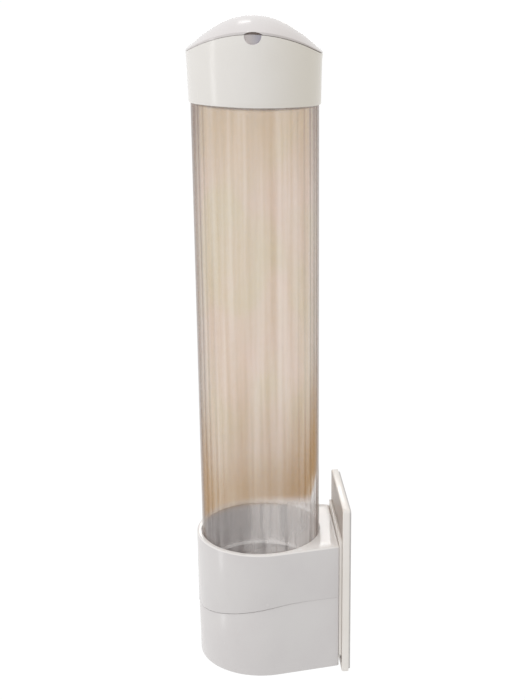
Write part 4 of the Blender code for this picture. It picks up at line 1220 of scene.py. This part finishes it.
def lid_mesh():
    """The lid: a domed shell whose edge lies on the vault, with a short plug inside the collar."""
    plug_outer = COLLAR_BORE - 0.4 * MM
    plug_inner = plug_outer - 1.6 * MM
    inner_top = plug_inner / (CAP_RADIUS - LID_ROUND)
    rings = [dome_ring(share, 0) for share in DOME_SHARES]
    rings += [lip_ring(LID_ROUND - a, i) for i, a in quarter_round(LID_ROUND, 6)]
    rings += [
        sole_ring(0, EDGE),
        sole_ring(EDGE, 0),
        sole_ring(CAP_RADIUS - plug_outer, 0),
        vault_ring(plug_outer, EDGE - PLUG_DEPTH),
        vault_ring(plug_outer - EDGE, -PLUG_DEPTH),
        vault_ring(plug_inner + EDGE, -PLUG_DEPTH),
        vault_ring(plug_inner, EDGE - PLUG_DEPTH),
    ]
    rings += [dome_ring(inner_top * s, DOME_WALL) for s in (1, 0.85, 0.68, 0.5, 0.32, 0.15)]
    shell = skin(rings, poles=((0, 0, LID_TOP), (0, 0, LID_TOP - DOME_WALL)))
    half = LID_KNUCKLE_HALF
    hinge = (HINGE_REACH, HINGE_HEIGHT)
    base = COLLAR_CREST + FIT
    sole_of_web = base + 0.1 * MM
    web = ((WEB_ROOT, sole_of_web), (CAP_RADIUS + 0.8 * MM, sole_of_web), hinge,
           (HINGE_REACH, HINGE_HEIGHT + LID_LIP), (WEB_ROOT, base + LID_LIP))
    corners = ((0, -HEEL_HALF), (HEEL_REACH, -HEEL_HALF), (HEEL_REACH, HEEL_HALF), (0, HEEL_HALF))
    heel = [Vector(hinge) + Matrix.Rotation(HEEL_TILT, 2) @ Vector(p) for p in corners]
    parts = [
        prism(web, EDGE - half, half - EDGE, "x"),
        soft_rod(KNUCKLE, -half, half, "x", hinge, EDGE, 48),
        prism(heel, 2 * EDGE - half, half - 2 * EDGE, "x"),
    ]
    return solid(shell, join=parts, cut=[hinge_bore(), arch_cutter()])


def in_arch(spot):
    """Whether a face lies inside the lid's arch."""
    away, depth = from_cutter(spot, ARCH_MIDDLE)
    inside = away < ARCH_RADIUS + 0.05 * MM and 0.2 * MM < depth < ARCH_DEPTH + 0.05 * MM
    return inside and spot.z > COLLAR_CREST


lid = place("lid_skin", lid_mesh(), shaded_lid_white, "lid", "lid", turn=CAP_TURN)
print("faces of the arch in shade:", repaint(lid, arch_shade, in_arch))

# %% [markdown]
# ## Pawl springs
#
# Each pawl stands on a small compression spring. The engineering model has its helix with few points. Here
# the wire is round and its two end coils lie flat, as on a real spring that has been closed and ground.

# %% Springs
SPRING_RADIUS = 1.8 * MM
WIRE_RADIUS = 0.225 * MM
DECK = FLOOR + FIT + 2.0 * MM
SPRING_FOOT = DECK + FIT
PIVOT_HEIGHT = DECK + 10.0 * MM
SPRING_HEIGHT = PIVOT_HEIGHT - 1.7 * MM - FIT - SPRING_FOOT
SPRING_CENTRE = MOUTH_RADIUS + SPRING_RADIUS + EDGE
TURNS, TURN_STEPS = 6.5, 22
DEAD_COIL, END_LIFT = 0.75, 0.5 * MM


def spring_line():
    """The wire's centre line: a dead coil at each end and open coils between them."""
    line = []
    count = int(TURNS * TURN_STEPS)
    open_rise = SPRING_HEIGHT - 2 * WIRE_RADIUS - 2 * END_LIFT
    for k in range(count + 1):
        turn = TURNS * k / count
        rise = min(max((turn - DEAD_COIL) / (TURNS - 2 * DEAD_COIL), 0), 1)
        ends = min(turn, DEAD_COIL) + max(turn - TURNS + DEAD_COIL, 0)
        height = WIRE_RADIUS + END_LIFT * ends / DEAD_COIL + open_rise * rise
        line.append(Vector((*polar(SPRING_RADIUS - WIRE_RADIUS, FULL * turn), height)))
    return line


def wire_mesh(line):
    """A round wire along a line, with closed ends."""
    rings = []
    for k, point in enumerate(line):
        ahead = line[min(k + 1, len(line) - 1)] - line[max(k - 1, 0)]
        side = ahead.cross(Vector((0, 0, 1))).normalized()
        up = side.cross(ahead).normalized()
        rings.append([point + side * p.x + up * p.y for p in circle(WIRE_RADIUS, 10)])
    return skin(rings)


for number in range(1, 5):
    angle = QUARTER * (number - 1)
    foot = Vector((*polar(SPRING_CENTRE, angle), SPRING_FOOT))
    spring = place(f"spring_wire_{number}", wire_mesh(spring_line()), steel, "dispenser",
                   f"pawl_spring_{number}", foot, angle)
    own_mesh(spring)

# %% [markdown]
# ## Pieces that keep their engineering shape
#
# The carrier, pawls, pins and screws are already right in shape. They only need a finish, and the carrier
# and the pawls a fine bevel that breaks their edges as a moulding tool does.

# %% Carried-over pieces
BROKEN_EDGE = 0.12 * MM


def refinish(node, finish, bevel=0.0):
    """Gives a frame node a finish, and breaks its sharp edges."""
    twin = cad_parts[node]
    twin.data.materials.clear()
    twin.data.materials.append(finish.material)
    if bevel:
        edge = twin.modifiers.new("broken_edges", "BEVEL")
        edge.width = bevel
        edge.segments = 2
        edge.limit_method = "ANGLE"
        edge.angle_limit = math.radians(40)


refinish("pawl_carrier", works_white, BROKEN_EDGE)
refinish("lid_hinge_pin", steel)
for number in range(1, 5):
    refinish(f"release_pawl_{number}", works_white, BROKEN_EDGE)
    refinish(f"pawl_pin_{number}", steel)
    refinish(f"hanger_screw_{number}", steel)
    refinish(f"carrier_screw_{number}", steel)

# %% [markdown]
# ## The studio
#
# The floor is a wide pale sheet and the sky lights everything evenly. Four soft lamps shape the object: one
# overhead for the lid and the deck, a far one behind whose small image is the highlight on the lid, a weak
# low one behind that glances off the deck and the rim towards the camera, and a tall narrow one in front for
# the upright highlight on the round housing. Seen by the camera, in a reflection or through the tube, floor
# and sky are plain white. The floor does that with a Mix Shader: where it is looked at, most of it glows, and
# the rest still takes the object's shadow. For light that bounces, it is an ordinary pale sheet.

# %% Floor, sky and lamps
FLOOR_DROP = 0.25
EVEN_LIGHT = 0.86


class Backdrop(Finish):
    """The sky's node tree, used with the same helpers as a material's."""

    def __init__(self, world):
        self.tree = world.node_tree
        self.shader = self.tree.nodes["Background"]


def looked_at(finish):
    """1 for rays from the camera, in a reflection or through something clear, and 0 for bounced light."""
    rays = [finish.node("ShaderNodeLightPath", output=name)
            for name in ("Is Camera Ray", "Is Glossy Ray", "Is Transmission Ray")]
    return maths("MAXIMUM", maths("MAXIMUM", rays[0], rays[1]), rays[2])


def floor_finish():
    """Pale matt floor that mostly glows where it is looked at."""
    finish = Finish("pale_floor")
    where = spot_of(finish)
    finish.sockets(
        base_color=tint(noise(where, 3, 2), (0.72, 0.72, 0.72), (0.69, 0.69, 0.69)),
        roughness=0.9,
    )
    glow = finish.node("ShaderNodeEmission", {}, {"Strength": 1.12})
    mixed = finish.node("ShaderNodeMixShader", {}, {
        0: looked_at(finish) * 0.8, 1: Wire(finish, finish.shader.outputs[0]), 2: glow})
    finish.tree.links.new(mixed.socket, finish.tree.nodes["Material Output"].inputs["Surface"])
    return finish


shape = bmesh.new()
bmesh.ops.create_grid(shape, x_segments=8, y_segments=8, size=40)
floor_mesh = mesh_from(shape, "floor")
floor_mesh.materials.append(floor_finish().material)
floor = add("floor", floor_mesh)
floor.location.z = cad_box[0][2] - FLOOR_DROP

sky = bpy.data.worlds.new("sky")
sky.use_nodes = True
backdrop = Backdrop(sky)
brightness = EVEN_LIGHT + (1 - EVEN_LIGHT) * looked_at(backdrop)
backdrop.plug(backdrop.shader, {"Color": (1, 1, 1, 1), "Strength": brightness})
bpy.context.scene.world = sky


def lamp(name, place_at, look_at, size, watts):
    """A soft rectangular lamp that faces a point."""
    light = bpy.data.lights.new(name, "AREA")
    light.shape = "RECTANGLE"
    light.size, light.size_y = size
    light.energy = watts
    holder = add(name, light)
    holder.location = place_at
    holder.rotation_euler = (Vector(look_at) - Vector(place_at)).to_track_quat("-Z", "Y").to_euler()


middle = (Vector(cad_box[0]) + Vector(cad_box[1])) / 2
lamp("overhead", (0.30, -0.30, 1.90), middle, (0.5, 0.5), 3.5)
lamp("behind", (-4.42, -0.10, 2.58), middle, (0.45, 0.33), 0.8)
lamp("low", (-0.75, -0.02, 0.42), (0, -0.06, 0.04), (0.26, 0.11), 0.34)
lamp("front", (0.155, -0.66, 0.11), (0.03, -0.09, 0.11), (0.08, 0.75), 0.50)
print("lamps:", len(bpy.data.lights))

# %% [markdown]
# ## The camera
#
# The photograph was taken from the object's left side and a little above. The camera's place and tilt were
# found by fitting the outlines of the tube, the rims and the plate, and are written as one point in the
# drawing and three angles. The same fit gave the focal length, in pixels of a picture 700 pixels high.

# %% Camera
CAMERA_AT = DRAWING + Vector((0.91987, -0.04677, 0.53721))
BEARING, PITCH, ROLL = 0.0541, 0.3117, -0.0129
FOCAL_PIXELS, PICTURE_HEIGHT = 1335.2, 700
SENSOR_WIDTH = 36
forward = Vector((-math.cos(BEARING) * math.cos(PITCH),
                  math.sin(BEARING) * math.cos(PITCH),
                  -math.sin(PITCH)))
level = forward.cross(Vector((0, 0, 1))).normalized()
upward = level.cross(forward)
right = level * math.cos(ROLL) + upward * math.sin(ROLL)
up = upward * math.cos(ROLL) - level * math.sin(ROLL)

lens = bpy.data.cameras.new("camera")
lens.sensor_width = SENSOR_WIDTH
lens.lens = FOCAL_PIXELS * SENSOR_WIDTH / PICTURE_HEIGHT
camera = add("camera", lens)
camera.matrix_world = Matrix((right, up, -forward)).transposed().to_4x4()
camera.location = CAMERA_AT
bpy.context.scene.camera = camera
bpy.context.scene.view_settings.view_transform = "Standard"
print("camera at", [round(c, 4) for c in CAMERA_AT], "lens", round(lens.lens, 2))
